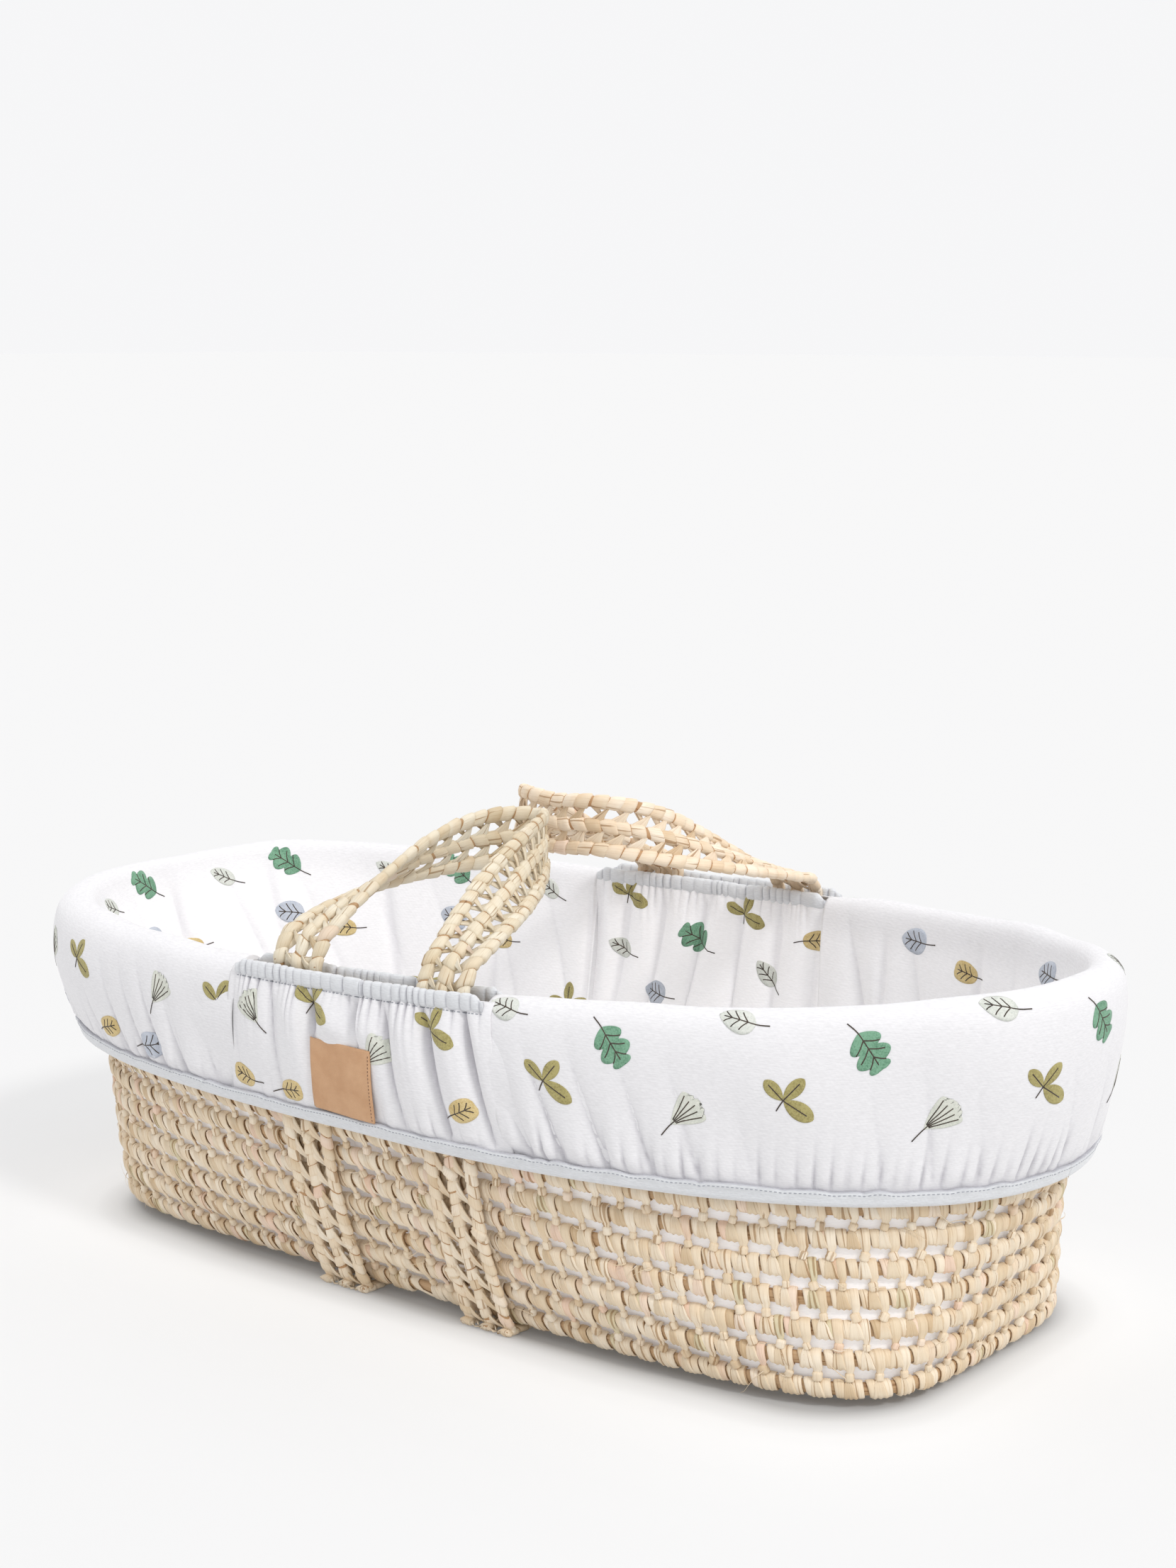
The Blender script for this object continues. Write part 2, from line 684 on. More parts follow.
def wound_rail(soup, ribbon, wrap, half_w, half_t, slant, rng):
    """A rope of slightly swollen turns; each turn's end tucks under the next."""
    count = int(round(ribbon.run[-1] / wrap))
    step = ribbon.run[-1] / count
    centre = (np.arange(count) + 0.5 + rng.uniform(-0.12, 0.12, count)) * step
    v = np.array([-1.0, -0.8, -0.3, 0.3, 0.8, 1.0])
    grow = np.array([0.66, 0.90, 1.00, 1.06, 1.08, 0.84])
    ang = np.linspace(0, TAU, 13)[:-1]
    c, n = signed_power(np.cos(ang), 0.85), signed_power(np.sin(ang), 0.85)
    lean = slant * rng.uniform(0.6, 1.3, count)
    s = centre[:, None, None] + (v[:, None] * step * 0.52) + lean[:, None, None] * (c * half_w)
    place, _, wide, out = ribbon.at(s)
    size = grow[:, None] * rng.uniform(0.92, 1.08, (count, 1, 1))
    rings = place + wide * (size * c * half_w)[..., None] + out * (size * n * half_t)[..., None]
    rings[..., 2] = np.maximum(rings[..., 2], 0.2 * MM)
    tone = leaf_tones(rng, count, 0.16)
    fib = np.broadcast_to(v * step * 0.56, (count, len(v)))
    t = np.linspace(0, ribbon.run[-1], int(ribbon.run[-1] / (3 * MM)) + 2)
    place, _, wide, out = (field[:, None] for field in ribbon.at(t))
    core = place + wide * (c * half_w * 0.8)[None, :, None] + out * (n * half_t * 0.8)[None, :, None]
    core[..., 2] = np.maximum(core[..., 2], 0.4 * MM)
    soup.tubes(core[None], np.array([0.0]), c * half_w, t[None])
    soup.tubes(rings, tone, c * half_w, fib)


def lace_leaves(soup, ribbon, low, high, pitch, rng, face):
    """Pleated leaves that run slantwise from one rail to the next, wide where they start."""
    span = high - low
    count = int(ribbon.run[-1] / pitch)
    start = (np.arange(count) + 0.2 + rng.uniform(-0.06, 0.06, count)) * pitch
    t = np.linspace(0, 1, 6)
    s = start[:, None] + t * pitch * 0.62
    place, along, wide, out = ribbon.at(np.clip(s, 0, ribbon.run[-1]))
    across = low + span * t
    rise = (1.1 * np.sin(np.pi * t) + 0.5) * MM * face
    mid = place + wide * (across * RAIL_PITCH)[None, :, None] + out * rise[None, :, None]
    mid[..., 2] = np.maximum(mid[..., 2], 1.6 * MM)
    half = np.interp(t, [0, 0.25, 0.7, 1], [6.0, 5.0, 2.0, 1.3]) * MM * rng.uniform(0.85, 1.15, (count, 1))
    half = half * (1 if face > 0 else 0.5) * np.clip(mid[..., 2] / (16 * MM), 0.3, 1)
    thick = np.full(half.shape, 0.9 * MM)
    lean = unit(along + wide * span * -0.25)
    strips(soup, mid, lean, out * face, half, thick, PLEATED, leaf_tones(rng, count, 0.18))


def lace(prefix, ribbon, wrap, half_w, half_t, pitch, seed, material):
    """Three wound rails and the lacing between them; returns the rail pieces and the lacing piece."""
    rng = np.random.default_rng(seed)
    rails = []
    for k, slant, side in ((-1, 0.35, "outer"), (0, -0.35, "middle"), (1, 0.35, "inner")):
        soup = Soup()
        wound_rail(soup, ribbon.offset(k), wrap, half_w, half_t, slant, rng)
        rails.append(soup.make(f"{prefix}_rail_{side}_wound", material))
    soup = Soup()
    for low, high in ((-0.8, -0.1), (0.1, 0.8)):
        lace_leaves(soup, ribbon, low, high, pitch, rng, 1)
        lace_leaves(soup, ribbon, high, low, pitch, rng, -1)
    return rails, soup.make(f"{prefix}_lacing_leaves", material)


def wall_y(x, z):
    """How far out the far side of the outline is at x and height z."""
    us = np.linspace(0.02, 0.48, 2001)
    p = wall(us, z)
    return float(np.interp(x, p[::-1, 0], p[::-1, 1]))


def band_side(x):
    """Half of a band's route in Y and Z: from under the floor up the wall to the rim."""
    foot = wall_y(x, ROW_Z[0])
    off = 3.4 * MM
    p0, p1 = np.array([foot - 2 * MM, 2.5 * MM]), np.array([foot + 6 * MM, 2.6 * MM])
    p2 = np.array([wall_y(x, 37 * MM) + off, 30 * MM])
    turn = [(1 - u) ** 2 * p0 + 2 * u * (1 - u) * p1 + u * u * p2 for u in (0, 0.2, 0.4, 0.6, 0.8)]
    rise = [np.array([wall_y(x, min(z + ROW_H / 2, RIM_Z)) + off, z]) for z in np.arange(30, 229, 19.7) * MM]
    return [np.array([0, 2.5 * MM])] + turn + rise + [np.array([wall_y(x, RIM_Z) + 2.8 * MM, RIM_Z + 3 * MM])]


def band_route(x):
    """A band's whole route, down one side, under the floor and up the other."""
    side = band_side(abs(x))
    near = [np.array([-p[0], p[1]]) for p in side[:0:-1]]
    flat = np.array(near + side)
    return spline(np.column_stack([np.full(len(flat), x), flat]), 2 * MM)


def make_bands():
    for name, x, seed in (("left_band", -BAND_X, 31), ("right_band", BAND_X, 32)):
        route = band_route(x)
        ribbon = Ribbon(route, np.tile([1.0, 0, 0], (len(route), 1)))
        sizes = {"wrap": 8.8 * MM, "half_w": 5.0 * MM, "half_t": 2.7 * MM, "pitch": 17.6 * MM}
        rails, leaves = lace(name, ribbon, **sizes, seed=seed, material=PALM)
        for rail in rails:
            place(rail, "basket", "palm_lace")
        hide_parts(f"{name}_rails")
        place(leaves, "basket", "palm_lace", f"{name}_lacing")


def handle_points(leg, bend):
    """A handle's middle line and width direction, as the CAD works them out; u runs from -1 to 1."""
    u = np.linspace(-1, 1, 241)
    p = np.array(leg) * MM

    def bezier(s):
        s = s[:, None]
        return (1 - s) ** 3 * p[0] + 3 * s * (1 - s) ** 2 * p[1] + 3 * s * s * (1 - s) * p[2] + s**3 * p[3]

    soft = (np.sqrt(u * u + bend * bend) - bend) / (math.sqrt(1 + bend * bend) - bend)
    rest = 1 - np.abs(u)
    along, across = bezier(rest), bezier(1 - soft)
    shift = 14 * MM * rest**2 * (1 + 2 * np.abs(u))
    mid = np.column_stack([np.sign(u) * along[:, 0] - shift, across[:, 1], across[:, 2]])
    twist = math.pi / 2 * rest**2 * (3 - 2 * rest)
    wide = np.column_stack([-np.sign(u) * np.cos(twist), np.zeros(len(u)), np.sin(twist)])
    middle = len(u) // 2
    wide[middle] = (0, 0, 1)
    mid[middle, 0] = -shift[middle]
    return mid, wide


# Bezier points of a handle's leg in mm, from the rim to the crown
NEAR_LEG = [(67, -205.5, 260), (67, -184, 281), (48, -61, 322), (0, -10, 312)]
FAR_LEG = [(67, 205.5, 260), (80, 165, 268), (95, 0, 335), (0, 10.5, 320)]


def make_handle(name, leg, bend, seed, material):
    """A handle whose ends run a little way down into the bands and blend into the basket there."""
    mid, wide = handle_points(leg, bend)
    side = np.sign(leg[0][1])
    tail = []
    for z in (242, 246, 250):
        y = np.interp(z, [240, 253.5], [wall_y(BAND_X, RIM_Z) / MM + 2.8, 207.3])
        tail.append((y * side * MM, z * MM))
    first, last = [(-BAND_X, y, z) for y, z in tail], [(BAND_X, y, z) for y, z in tail[::-1]]
    points = np.concatenate([first, mid, last])
    widths = np.concatenate([np.tile(wide[0], (3, 1)), wide, np.tile(wide[-1], (3, 1))])
    route = spline(np.concatenate([points[:3], points[12:-12:6], points[-3:]]), 2 * MM)
    run = run_along(points)
    ribbon = Ribbon(route, between(np.linspace(0, run[-1], len(route)), run, widths))
    sizes = {"wrap": 11.5 * MM, "half_w": 5.2 * MM, "half_t": 3.6 * MM, "pitch": 15.4 * MM}
    rails, leaves = lace(name, ribbon, **sizes, seed=seed, material=material)
    stands_for = (["rail_outer"], ["rail_middle", "handle_lashings"], ["rail_inner"], ["handle_lacing"])
    for piece, nodes in zip(rails + [leaves], stands_for):
        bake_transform(piece)
        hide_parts(*[f"{name}_{node}" for node in nodes])


PALM_NEAR = palm_material("palm_near_handle", tint=(0.83, 0.845, 0.825, 1))
PALM_FAR = palm_material("palm_far_handle", tint=(0.965, 0.93, 0.905, 1))
make_bands()
make_handle("near", NEAR_LEG, 0.05, 41, PALM_NEAR)
make_handle("far", FAR_LEG, 0.02, 42, PALM_FAR)

# ---------------------------------------------------------------- liner

SLOT_HEAD, SLOT_FOOT = 105 * MM, -120 * MM
HEAD_ENDS = ((-1, SLOT_HEAD), (1, SLOT_HEAD))
FOOT_ENDS = ((1, SLOT_FOOT), (-1, SLOT_FOOT))
NEAR_ENDS = ((-1, SLOT_FOOT), (-1, SLOT_HEAD))
FAR_ENDS = ((1, SLOT_HEAD), (1, SLOT_FOOT))
SKIRT_LOW = node_box("hem_binding")[1][2]
LIFT_FROM, LIFT_TO = 149 * MM, 246.8 * MM  # heights between which the crest's rise comes in


def crest_rise(x):
    """How much higher the liner's crest is at x than in the middle: most at the head end."""
    u = x / RIM_HALF[0]
    return (15.1 * u + 13.5 * u * u) * MM


def angle_at(x, z, off, side):
    """The outline's angle where it passes x; side is -1 for the near side and 1 for the far one."""
    share = np.clip(z / RIM_Z, 0, 1)
    reach = (x - BASE_SHIFT * (1 - share)) / half_sizes(share, off)[0]
    t = np.arccos(signed_power(reach, squareness(reach >= 0, share) / 2))
    return t if side > 0 else TAU - t


SLANT_FROM = 0.24  # height from which the slot's side seams slant, and how far they do so down the skirt
SLANT_HEAD, SLANT_FOOT = 17 * MM, -3 * MM
RIM_REF = 0.19  # height at which the run along the rim is measured


def seam_slant(x):
    return SLANT_HEAD if x >= SLOT_HEAD else SLANT_FOOT if x <= SLOT_FOOT else 0


def lay(section, ends, step):
    """Lays a section of (off, height, lag) rows along a stretch of the rim; returns its grid and run.

    Lag is how much lower on the outline than its own height a row takes its plan."""
    off, height, lag = section.T
    z = np.maximum(height - lag, 0)
    spread = np.clip((SLANT_FROM - height) / 0.1, 0, 1) * (off > 0)
    t0, t1 = (angle_at(x + spread * seam_slant(x), z, off, side) for side, x in ends)
    t1 = np.where(t1 < t0, t1 + TAU, t1)
    ref0, ref1 = (angle_at(x, RIM_REF, 0.0, side) for side, x in ends)
    ref1 = ref1 + TAU if ref1 < ref0 else ref1
    ref = np.linspace(ref0, ref1, 3001)
    run = run_along(outline(ref, RIM_REF))
    even = np.linspace(0, run[-1], int(round(run[-1] / step)) + 1)
    share = (np.interp(even, run, ref) - ref0) / (ref1 - ref0)
    t = t0 + (t1 - t0) * share[:, None]
    grid = outline(t, z[None, :], off[None, :])
    lift = np.clip((height - LIFT_FROM) / (LIFT_TO - LIFT_FROM), 0, 1)
    grid[..., 2] = height + crest_rise(grid[..., 0]) * lift
    return grid, even


def ridge(rng, s, length, period):
    """Broad rounded folds with a narrow valley at every period."""
    phase = s / period + wave(rng, s, length, period * 3) * 0.9
    depth = 0.75 + 0.55 * wave(rng, s, length, period * 1.6)
    return (1.4 * np.abs(np.sin(np.pi * phase)) ** 0.6 - 0.95) * depth


class Fabric:
    """A grid of points, run by section, with outward normals."""

    def __init__(self, grid, loop):
        self.grid = grid
        self.loop = loop
        self.refresh()

    def refresh(self):
        along = np.gradient(self.grid, axis=0)
        if self.loop:
            across = np.roll(self.grid, -1, axis=1) - np.roll(self.grid, 1, axis=1)
        else:
            across = np.gradient(self.grid, axis=1)
        self.normal = unit(np.cross(across, along))

    def push(self, amount):
        self.grid = self.grid + self.normal * amount[..., None]
        self.refresh()

    def at(self, i, j, lift):
        n, m = self.grid.shape[:2]
        i, j = np.clip(i, 0, n - 1.001), np.clip(j, 0, m - 1.001)
        a, b = i.astype(int), j.astype(int)
        f, g = (i - a)[..., None], (j - b)[..., None]

        def blend(v):
            low = v[a, b] * (1 - f) + v[a + 1, b] * f
            high = v[a, b + 1] * (1 - f) + v[a + 1, b + 1] * f
            return low * (1 - g) + high * g

        return blend(self.grid) + blend(self.normal) * lift

    def pitch(self, i, j):
        """Metres between grid lines near a place, each way."""
        n, m = self.grid.shape[:2]
        i0, i1 = np.clip([i - 6, i + 6], 0, n - 1).astype(int)
        j0, j1 = np.clip([j - 4, j + 4], 0, m - 1).astype(int)
        g = self.grid
        run = np.linalg.norm(g[i1, int(j)] - g[i0, int(j)]) / (i1 - i0)
        rise = np.linalg.norm(g[int(i), j1] - g[int(i), j0]) / (j1 - j0)
        return run, rise

    def hollow(self):
        """How deep each point lies in a fold, 0 to 1: its neighbourhood along the run stands proud of it."""
        step = np.linalg.norm(np.diff(self.grid, axis=0), axis=2).mean()
        deep = np.zeros(self.grid.shape[:2])
        for reach, full in ((4 * MM, 1.3 * MM), (14 * MM, 3.6 * MM)):
            k = max(int(round(reach / step)), 1)
            wide = np.concatenate([self.grid[:1]] * (k + 1) + [self.grid] + [self.grid[-1:]] * k)
            total = np.cumsum(wide, axis=0)
            mean = (total[2 * k + 1 :] - total[: -2 * k - 1]) / (2 * k + 1)
            deep = np.maximum(deep, np.sum((mean - self.grid) * self.normal, axis=2) / full)
        return np.clip(deep * 1.1 - 0.1, 0, 1)

    def make(self, name, material, lit=None, crease=0.0, shade=1.0):
        """The mesh; lit, crease and shade are numbers for each row of the section.

        A row lets through the daylight lit, and is darkened by crease and, in its folds, by shade."""
        n, m = self.grid.shape[:2]
        index = np.arange(n * m).reshape(n, m)
        if self.loop:
            nxt = np.roll(index, -1, axis=1)
            quads = np.stack([index[:-1], nxt[:-1], nxt[1:], index[1:]], axis=-1).reshape(-1, 4).tolist()
            quads += [index[0, ::-1].tolist(), index[-1].tolist()]
        else:
            quads = np.stack([index[:-1, :-1], index[:-1, 1:], index[1:, 1:], index[1:, :-1]], axis=-1)
            quads = quads.reshape(-1, 4).tolist()
        mesh = bpy.data.meshes.new(name)
        mesh.from_pydata(self.grid.reshape(-1, 3).tolist(), [], quads)
        mark_points(mesh, "fold", np.clip(self.hollow() * shade + crease, 0, 1).reshape(-1))
        if lit is not None:
            mark_points(mesh, "lit", np.tile(lit, n))
        return finish_object(name, mesh, [material])


# The padded roll's section in mm, as (off, height, lag): up the inside, over the crest, down the skirt,
# back up inside the skirt and down the pad's back
ROLL = [
    (-20.3, 12.7, 8), (-20.3, 45, 8), (-20.3, 90, 8), (-20.3, 150, 8), (-20.3, 205, 7), (-19.4, 228, 3),
    (-17.0, 238.8, 0), (-12.3, 245.0, 0), (-4.5, 247.0, 0), (4.2, 243.9, 0), (11, 236.2, 0), (15.8, 221.8, 0),
    (18, 199.8, 0), (16.6, 169.8, 0), (13.2, 149, 0), (12.4, 141, 0), (10.4, 140.5, 0), (10.8, 149, 0),
    (13.4, 170, 0), (15, 200, 0), (12.8, 219, 0), (8, 232, 0), (2, 239.6, 0), (-4.5, 242.2, 0),
    (-8.8, 238.4, 0), (-5.8, 225, 8), (-5.8, 150, 8), (-5.8, 90, 8), (-5.8, 45, 8), (-7.8, 12.7, 8),
]
NOISE_SPAN = 1.37  # the folds' noise closes after this many times a piece's length, so its ends differ
TAPE_PITCH, ELASTIC_PITCH, DRAPE_PITCH = 0.0105, 0.0078, 0.034  # gathers at the tape and elastic, wide folds
CHANNEL_PITCH, CHANNEL_HALF = 0.105, 0.006  # the pad's sewn channels
FADE_FROM, FADE_OVER = 0.21, 0.035  # height where the daylight inside starts to fade, and over how much


def tape_gathers(rng, s, length):
    """The small gathers that the hem tape draws in."""
    return ridge(rng, s, length, TAPE_PITCH) + 0.4


def make_roll(name, ends, seed, nodes):
    """A padded end of the liner, with its skirt."""
    section = spline(np.array(ROLL) * MM, 4 * MM, True)[:-1]
    grid, run = lay(section, ends, 2.2 * MM)
    crest = int(np.argmax(section[:, 1]))
    hem = crest + int(np.argmin(section[crest : crest + len(section) // 3, 1]))
    height = section[:, 1]
    j = np.arange(len(section))
    inner, skirt = (j <= crest), (j > crest) & (j <= hem)
    rng = np.random.default_rng(seed)
    length = run[-1] * NOISE_SPAN
    s = run[:, None]
    fabric = Fabric(grid, True)  # the pushes below are in mm until they are made
    # ends pulled in towards the slot panels
    near_end = np.minimum(run, run[-1] - run)
    pull = (1 - smooth(near_end / 0.03))[:, None]
    crest_keep = 1 - 0.8 * np.exp(-(((j - crest) / 6.0) ** 2))
    fabric.push(-pull * 3.2 * MM * (inner | skirt) * crest_keep)
    low = np.clip((height - SKIRT_LOW) / MM, 0, 200)[None, :]
    above_tape = smooth((low - 1) / 5)
    folds = wave(rng, s + 0.35 * height, length, 0.070) * 4.2 * np.sin(np.clip(low / 92, 0, 1) * np.pi)
    folds = folds + tape_gathers(rng, s, length) * 4.4 * above_tape * np.exp(-low / 12)
    folds = folds + ridge(rng, s + 0.25 * height, length, DRAPE_PITCH) * 6.0 * above_tape * np.exp(-low / 32)
    soft = wave(rng, s, length, 0.085) * 4.2 + ridge(rng, s - 0.3 * height, length, 0.062) * 5.0
    soft = soft * np.sin(np.clip(height / 0.245, 0, 1) * np.pi) ** 0.7
    from_seam = np.mod(s + 0.05, CHANNEL_PITCH) - CHANNEL_PITCH / 2
    channel = np.exp(-((from_seam / CHANNEL_HALF) ** 2))
    soft = soft - channel * 3.4 * smooth((0.243 - height) / 0.04)
    crease = wave(rng, s, length, 0.05) * 1.6
    amount = np.where(inner, soft, 0) + np.where(skirt, folds, 0)
    near_crest = np.exp(-(((j - crest) / 7.0) ** 2))
    amount = amount * (1 - near_crest * 0.75) + crease * near_crest * (inner | skirt)
    fabric.push(amount * MM)
    lit = np.where(inner, INNER_LIT * (1 - smooth((height - FADE_FROM) / FADE_OVER)), 0.0)
    lit = lit + WALL_SIDE_LIT * (j > hem) * (section[:, 0] < 0) * (1 - smooth((height - SKIRT_LOW) / 0.05))
    seam = 0.45 * np.exp(-low[0] / 2.5) * skirt
    cloth = fabric.make(name, WHITE, lit, seam, np.where(inner, 0.6, 1.0))
    piece = place(cloth, "basket", "liner_print", *nodes)
    fabric.rows = {"inner": (height[: crest + 1], 0), "skirt": (height[crest : hem + 1], crest)}
    fabric.length = run[-1]
    return fabric


LABEL_LOW, LABEL_HIGH = node_box("label")
LABEL_X = (LABEL_LOW[0] + LABEL_HIGH[0]) / 2
TUCK = 6 * MM  # how far the gathered panels run in under the padded rolls


def make_panel(name, node, ends, section, seed, side, flat_wide):
    """A gathered panel between slot binding and hem, or between slot binding and floor."""
    ends = [(y_side, x + math.copysign(TUCK, x)) for y_side, x in ends]
    section = spline(np.array(section) * MM, 3.2 * MM)
    grid, run = lay(section, ends, 1.2 * MM)
    heights = section[:, 1]
    rng = np.random.default_rng(seed)
    s = run[:, None]
    length = run[-1] * NOISE_SPAN
    top, low = heights.max(), heights.min()
    drop = (top - heights)[None, :]
    rise = (heights - low)[None, :]
    edge = smooth(np.minimum(run, run[-1] - run) / 0.02)[:, None]
    fine = ridge(rng, s, length, ELASTIC_PITCH)
    wide = ridge(rng, s + 0.10 * heights, length, DRAPE_PITCH)
    body = wave(rng, s + 0.15 * heights, length, 0.08)
    span = top - low
    amount = fine * 4.0 * smooth(drop / 0.006) * np.exp(-drop / 0.018)
    amount = amount + wide * 14.5 * smooth(drop / 0.03) * np.exp(-drop / (0.7 * span))
    amount = amount + body * 4.0 * smooth(drop / 0.05)
    if side == "outer":
        above_tape = smooth((rise - 0.007) / 0.006)
        gathers = tape_gathers(rng, s, length) * 4.0 * np.exp(-rise / 0.014)
        amount = (amount + gathers) * above_tape
        beside = smooth((0.040 - np.abs(grid[:, :1, 0] - LABEL_X)) / 0.016)
        under_label = beside * smooth((0.215 - heights[None, :]) / 0.016)
        amount = amount * (1 - 0.82 * under_label * (name == "near_outer_gathers"))
    else:
        amount = np.maximum(amount * 0.7, -2.5)
    amount = amount * (0.15 + 0.85 * edge) + 2.0 * np.sin(np.pi * np.clip(drop / span, 0, 1)) * edge
    fabric = Fabric(grid, False)
    fabric.push(amount * MM)
    lit = INNER_LIT * 1.3 * (1 - 0.7 * smooth((heights - FADE_FROM) / FADE_OVER)) * (side == "inner")
    shade = 0.55 if side == "inner" else 1.0
    piece = place(fabric.make(name, WHITE, lit, shade=shade), "basket", "liner_print", node)
    thick = piece.modifiers.new("thickness", "SOLIDIFY")
    thick.thickness = 1.2 * MM
    thick.offset = -1
    if side == "inner":  # its wall side shows between the rows
        piece.data.materials.append(BACKING)
        thick.material_offset = 1
    fabric.rows = {side: (heights, 0)}
    fabric.length = run[-1]
    return fabric


# The gathered panels' sections, as for the roll
OUTER_PANEL = [
    (4.5, 243, 0), (9.2, 238, 0), (12.0, 228, 0), (13.5, 210, 0), (13.5, 180, 0), (12.4, 160, 0),
    (12.4, 141, 0),
]
INNER_PANEL = [
    (-12.0, 13.2, 8), (-10.0, 45, 8), (-10.0, 90, 8), (-10.4, 150, 8), (-12.0, 205, 7), (-14.0, 226, 3),
    (-14.2, 236, 0), (-12.2, 242, 0),
]

ROLLS = {
    "head": make_roll("liner_roll_head", HEAD_ENDS, 51, ("liner_wall_head", "liner_skirt_head")),
    "foot": make_roll("liner_roll_foot", FOOT_ENDS, 52, ("liner_wall_foot", "liner_skirt_foot")),
}
PANELS = {}
for face, panel_section, flat_wide, first_seed in (
    ("outer", OUTER_PANEL, 0.26, 53),
    ("inner", INNER_PANEL, 0.28, 55),
):
    for count, (side, ends) in enumerate((("near", NEAR_ENDS), ("far", FAR_ENDS))):
        key = f"{side}_{face}"
        names = f"{key}_gathers", f"{key}_panel"
        PANELS[key] = make_panel(*names, ends, panel_section, first_seed + count, face, flat_wide)


def tube_rings(centre, up, out, half_up, half_out, ang):
    """Rings round a line, of a half height and a half width at each of its points."""
    c, n = signed_power(np.cos(ang), 0.8), signed_power(np.sin(ang), 0.8)
    across = out[:, None] * (c * half_out[:, None])[..., None]
    return centre[:, None] + across + up[:, None] * (n * half_up[:, None])[..., None]


def sweep_tube(soup, centre, up, out, half_up, half_out, corners=12):
    ang = np.linspace(0, TAU, corners + 1)[:-1]
    rings = tube_rings(centre, up, out, half_up, half_out, ang)
    soup.tubes(rings[None], np.array([0.5]), ang * 4 * MM, run_along(centre)[None])


def make_slot_binding(name, ends, off, seed):
    """An elastic tube of jersey along a slot, drawn up into small gathers."""
    grid, run = lay(np.array([(off, 242.3, 0)]) * MM, ends, 0.7 * MM)
    centre = grid[:, 0]
    rng = np.random.default_rng(seed)
    along = unit(np.gradient(centre, axis=0))
    up = unit(np.array([0, 0, 1.0]) - along * along[:, 2:3])
    out = -np.cross(along, up)
    gather = np.abs(np.sin(np.pi * (run / ELASTIC_PITCH + wave(rng, run, 0.4, 0.03) * 1.3)))
    tuck = smooth(np.minimum(run, run[-1] - run) / (9 * MM))
    deep = 0.6 + 0.5 * wave(rng, run, 0.4, 0.011)
    gather = 1 - (1 - gather**0.42) * deep * 1.5
    swell = (0.32 + 0.80 * gather) * (0.6 + 0.4 * tuck)
    high = 6.1 * MM * (0.84 + 0.18 * gather) * (0.6 + 0.4 * tuck)
    drift = wave(rng, run, 0.4, 0.02)[:, None] * 0.6 * MM - (1 - tuck[:, None]) * 2 * MM
    centre = centre + up * drift
    rings = tube_rings(centre, up, out, high, 3.0 * MM * swell, np.linspace(0, TAU, 17)[:-1])
    fabric = Fabric(rings, True)
    if np.sum(fabric.normal * (rings - centre[:, None])) < 0:  # its normals have to point outwards
        fabric = Fabric(rings[:, ::-1], True)
    return fabric.make(name, GREY)


# The hem tape's section, in mm: distance out from the wall, and height
TAPE = [
    (13.4, 139), (14.8, 141.5), (14.9, 146.5), (14.4, 148.7), (12.2, 148.9), (9.6, 147), (9.4, 140),
    (11, 138),
]
STITCH_PITCH, STITCH_SHARE = 2.9 * MM, 0.62  # from stitch to stitch, and how much of it shows thread


def make_hem():
    """The flat jersey tape round the skirt's lower edge, with its stitches."""
    steps = 900
    u = np.arange(steps + 1) / steps
    girth = TRACKS[FINE_ROWS].length  # of the row behind the tape
    rng = np.random.default_rng(61)
    section = spline(np.array(TAPE) * MM, 1.2 * MM, True)[:-1]
    high = smooth((section[:, 1] - 143 * MM) / (5 * MM))[None, :]
    s = u[:, None] * girth
    pucker = np.abs(wave(rng, s, girth, 0.0125)) ** 0.8
    ripple = wave(rng, s, girth, 0.03)
    off = section[None, :, 0] + (pucker * 2.0 * high + ripple * 0.5 + 0.6) * MM
    z = section[None, :, 1] + (pucker - 0.3) * 2.2 * MM * high
    grid = wall(u[:, None] * np.ones_like(z), z, off)
    fabric = Fabric(grid, True)
    hem = fabric.make("hem_tape", GREY, crease=smooth((section[:, 1] / MM - 148.0) / 0.7))
    place(hem, "basket", "grey_binding", "hem_binding")
    soup = Soup()
    j = int(np.argmin(np.abs(section[:, 1] - 147.0 * MM) + (section[:, 0] < 13 * MM)))
    stitches(soup, fabric, j, np.arange(0, steps, steps * STITCH_PITCH / girth))
    place(soup.make("hem_stitches", THREAD), "basket", "grey_binding")


def stitches(soup, fabric, j, starts):
    """Short raised thread dashes along row j of a fabric."""
    step = starts[1] - starts[0]
    a = np.clip(starts, 0, fabric.grid.shape[0] - 2)
    b = a + step * STITCH_SHARE
    row = np.full(a.shape, float(j))
    p, q = fabric.at(a, row, 0.1 * MM), fabric.at(b, row, 0.1 * MM)
    up = fabric.at(a, row - 0.2, 0.1 * MM) - fabric.at(a, row + 0.2, 0.1 * MM)
    dashes(soup, p, q, unit(up), 0.36 * MM)


def dashes(soup, p, q, up, half):
    """Thread dashes from the points p to the points q, five sided and thinner at their ends."""
    side = np.cross(unit(q - p), up)
    corners = [up * a + side * b for a, b in ((1, 0), (0.3, 0.95), (-0.8, 0.6), (-0.8, -0.6), (0.3, -0.95))]
    ring = []
    for point, size in ((p, 0.5), (p * 0.8 + q * 0.2, 1.0), (p * 0.2 + q * 0.8, 1.0), (q, 0.5)):
        ring.append(np.stack([point + c * half * size for c in corners], axis=1))
    rings = np.stack(ring, axis=1)
    along_s = np.tile(np.array([0, 0.3, 0.8, 1.0]) * MM, (len(p), 1))
    soup.tubes(rings, np.full(len(p), 0.5), np.linspace(-1, 1, 5) * half, along_s)


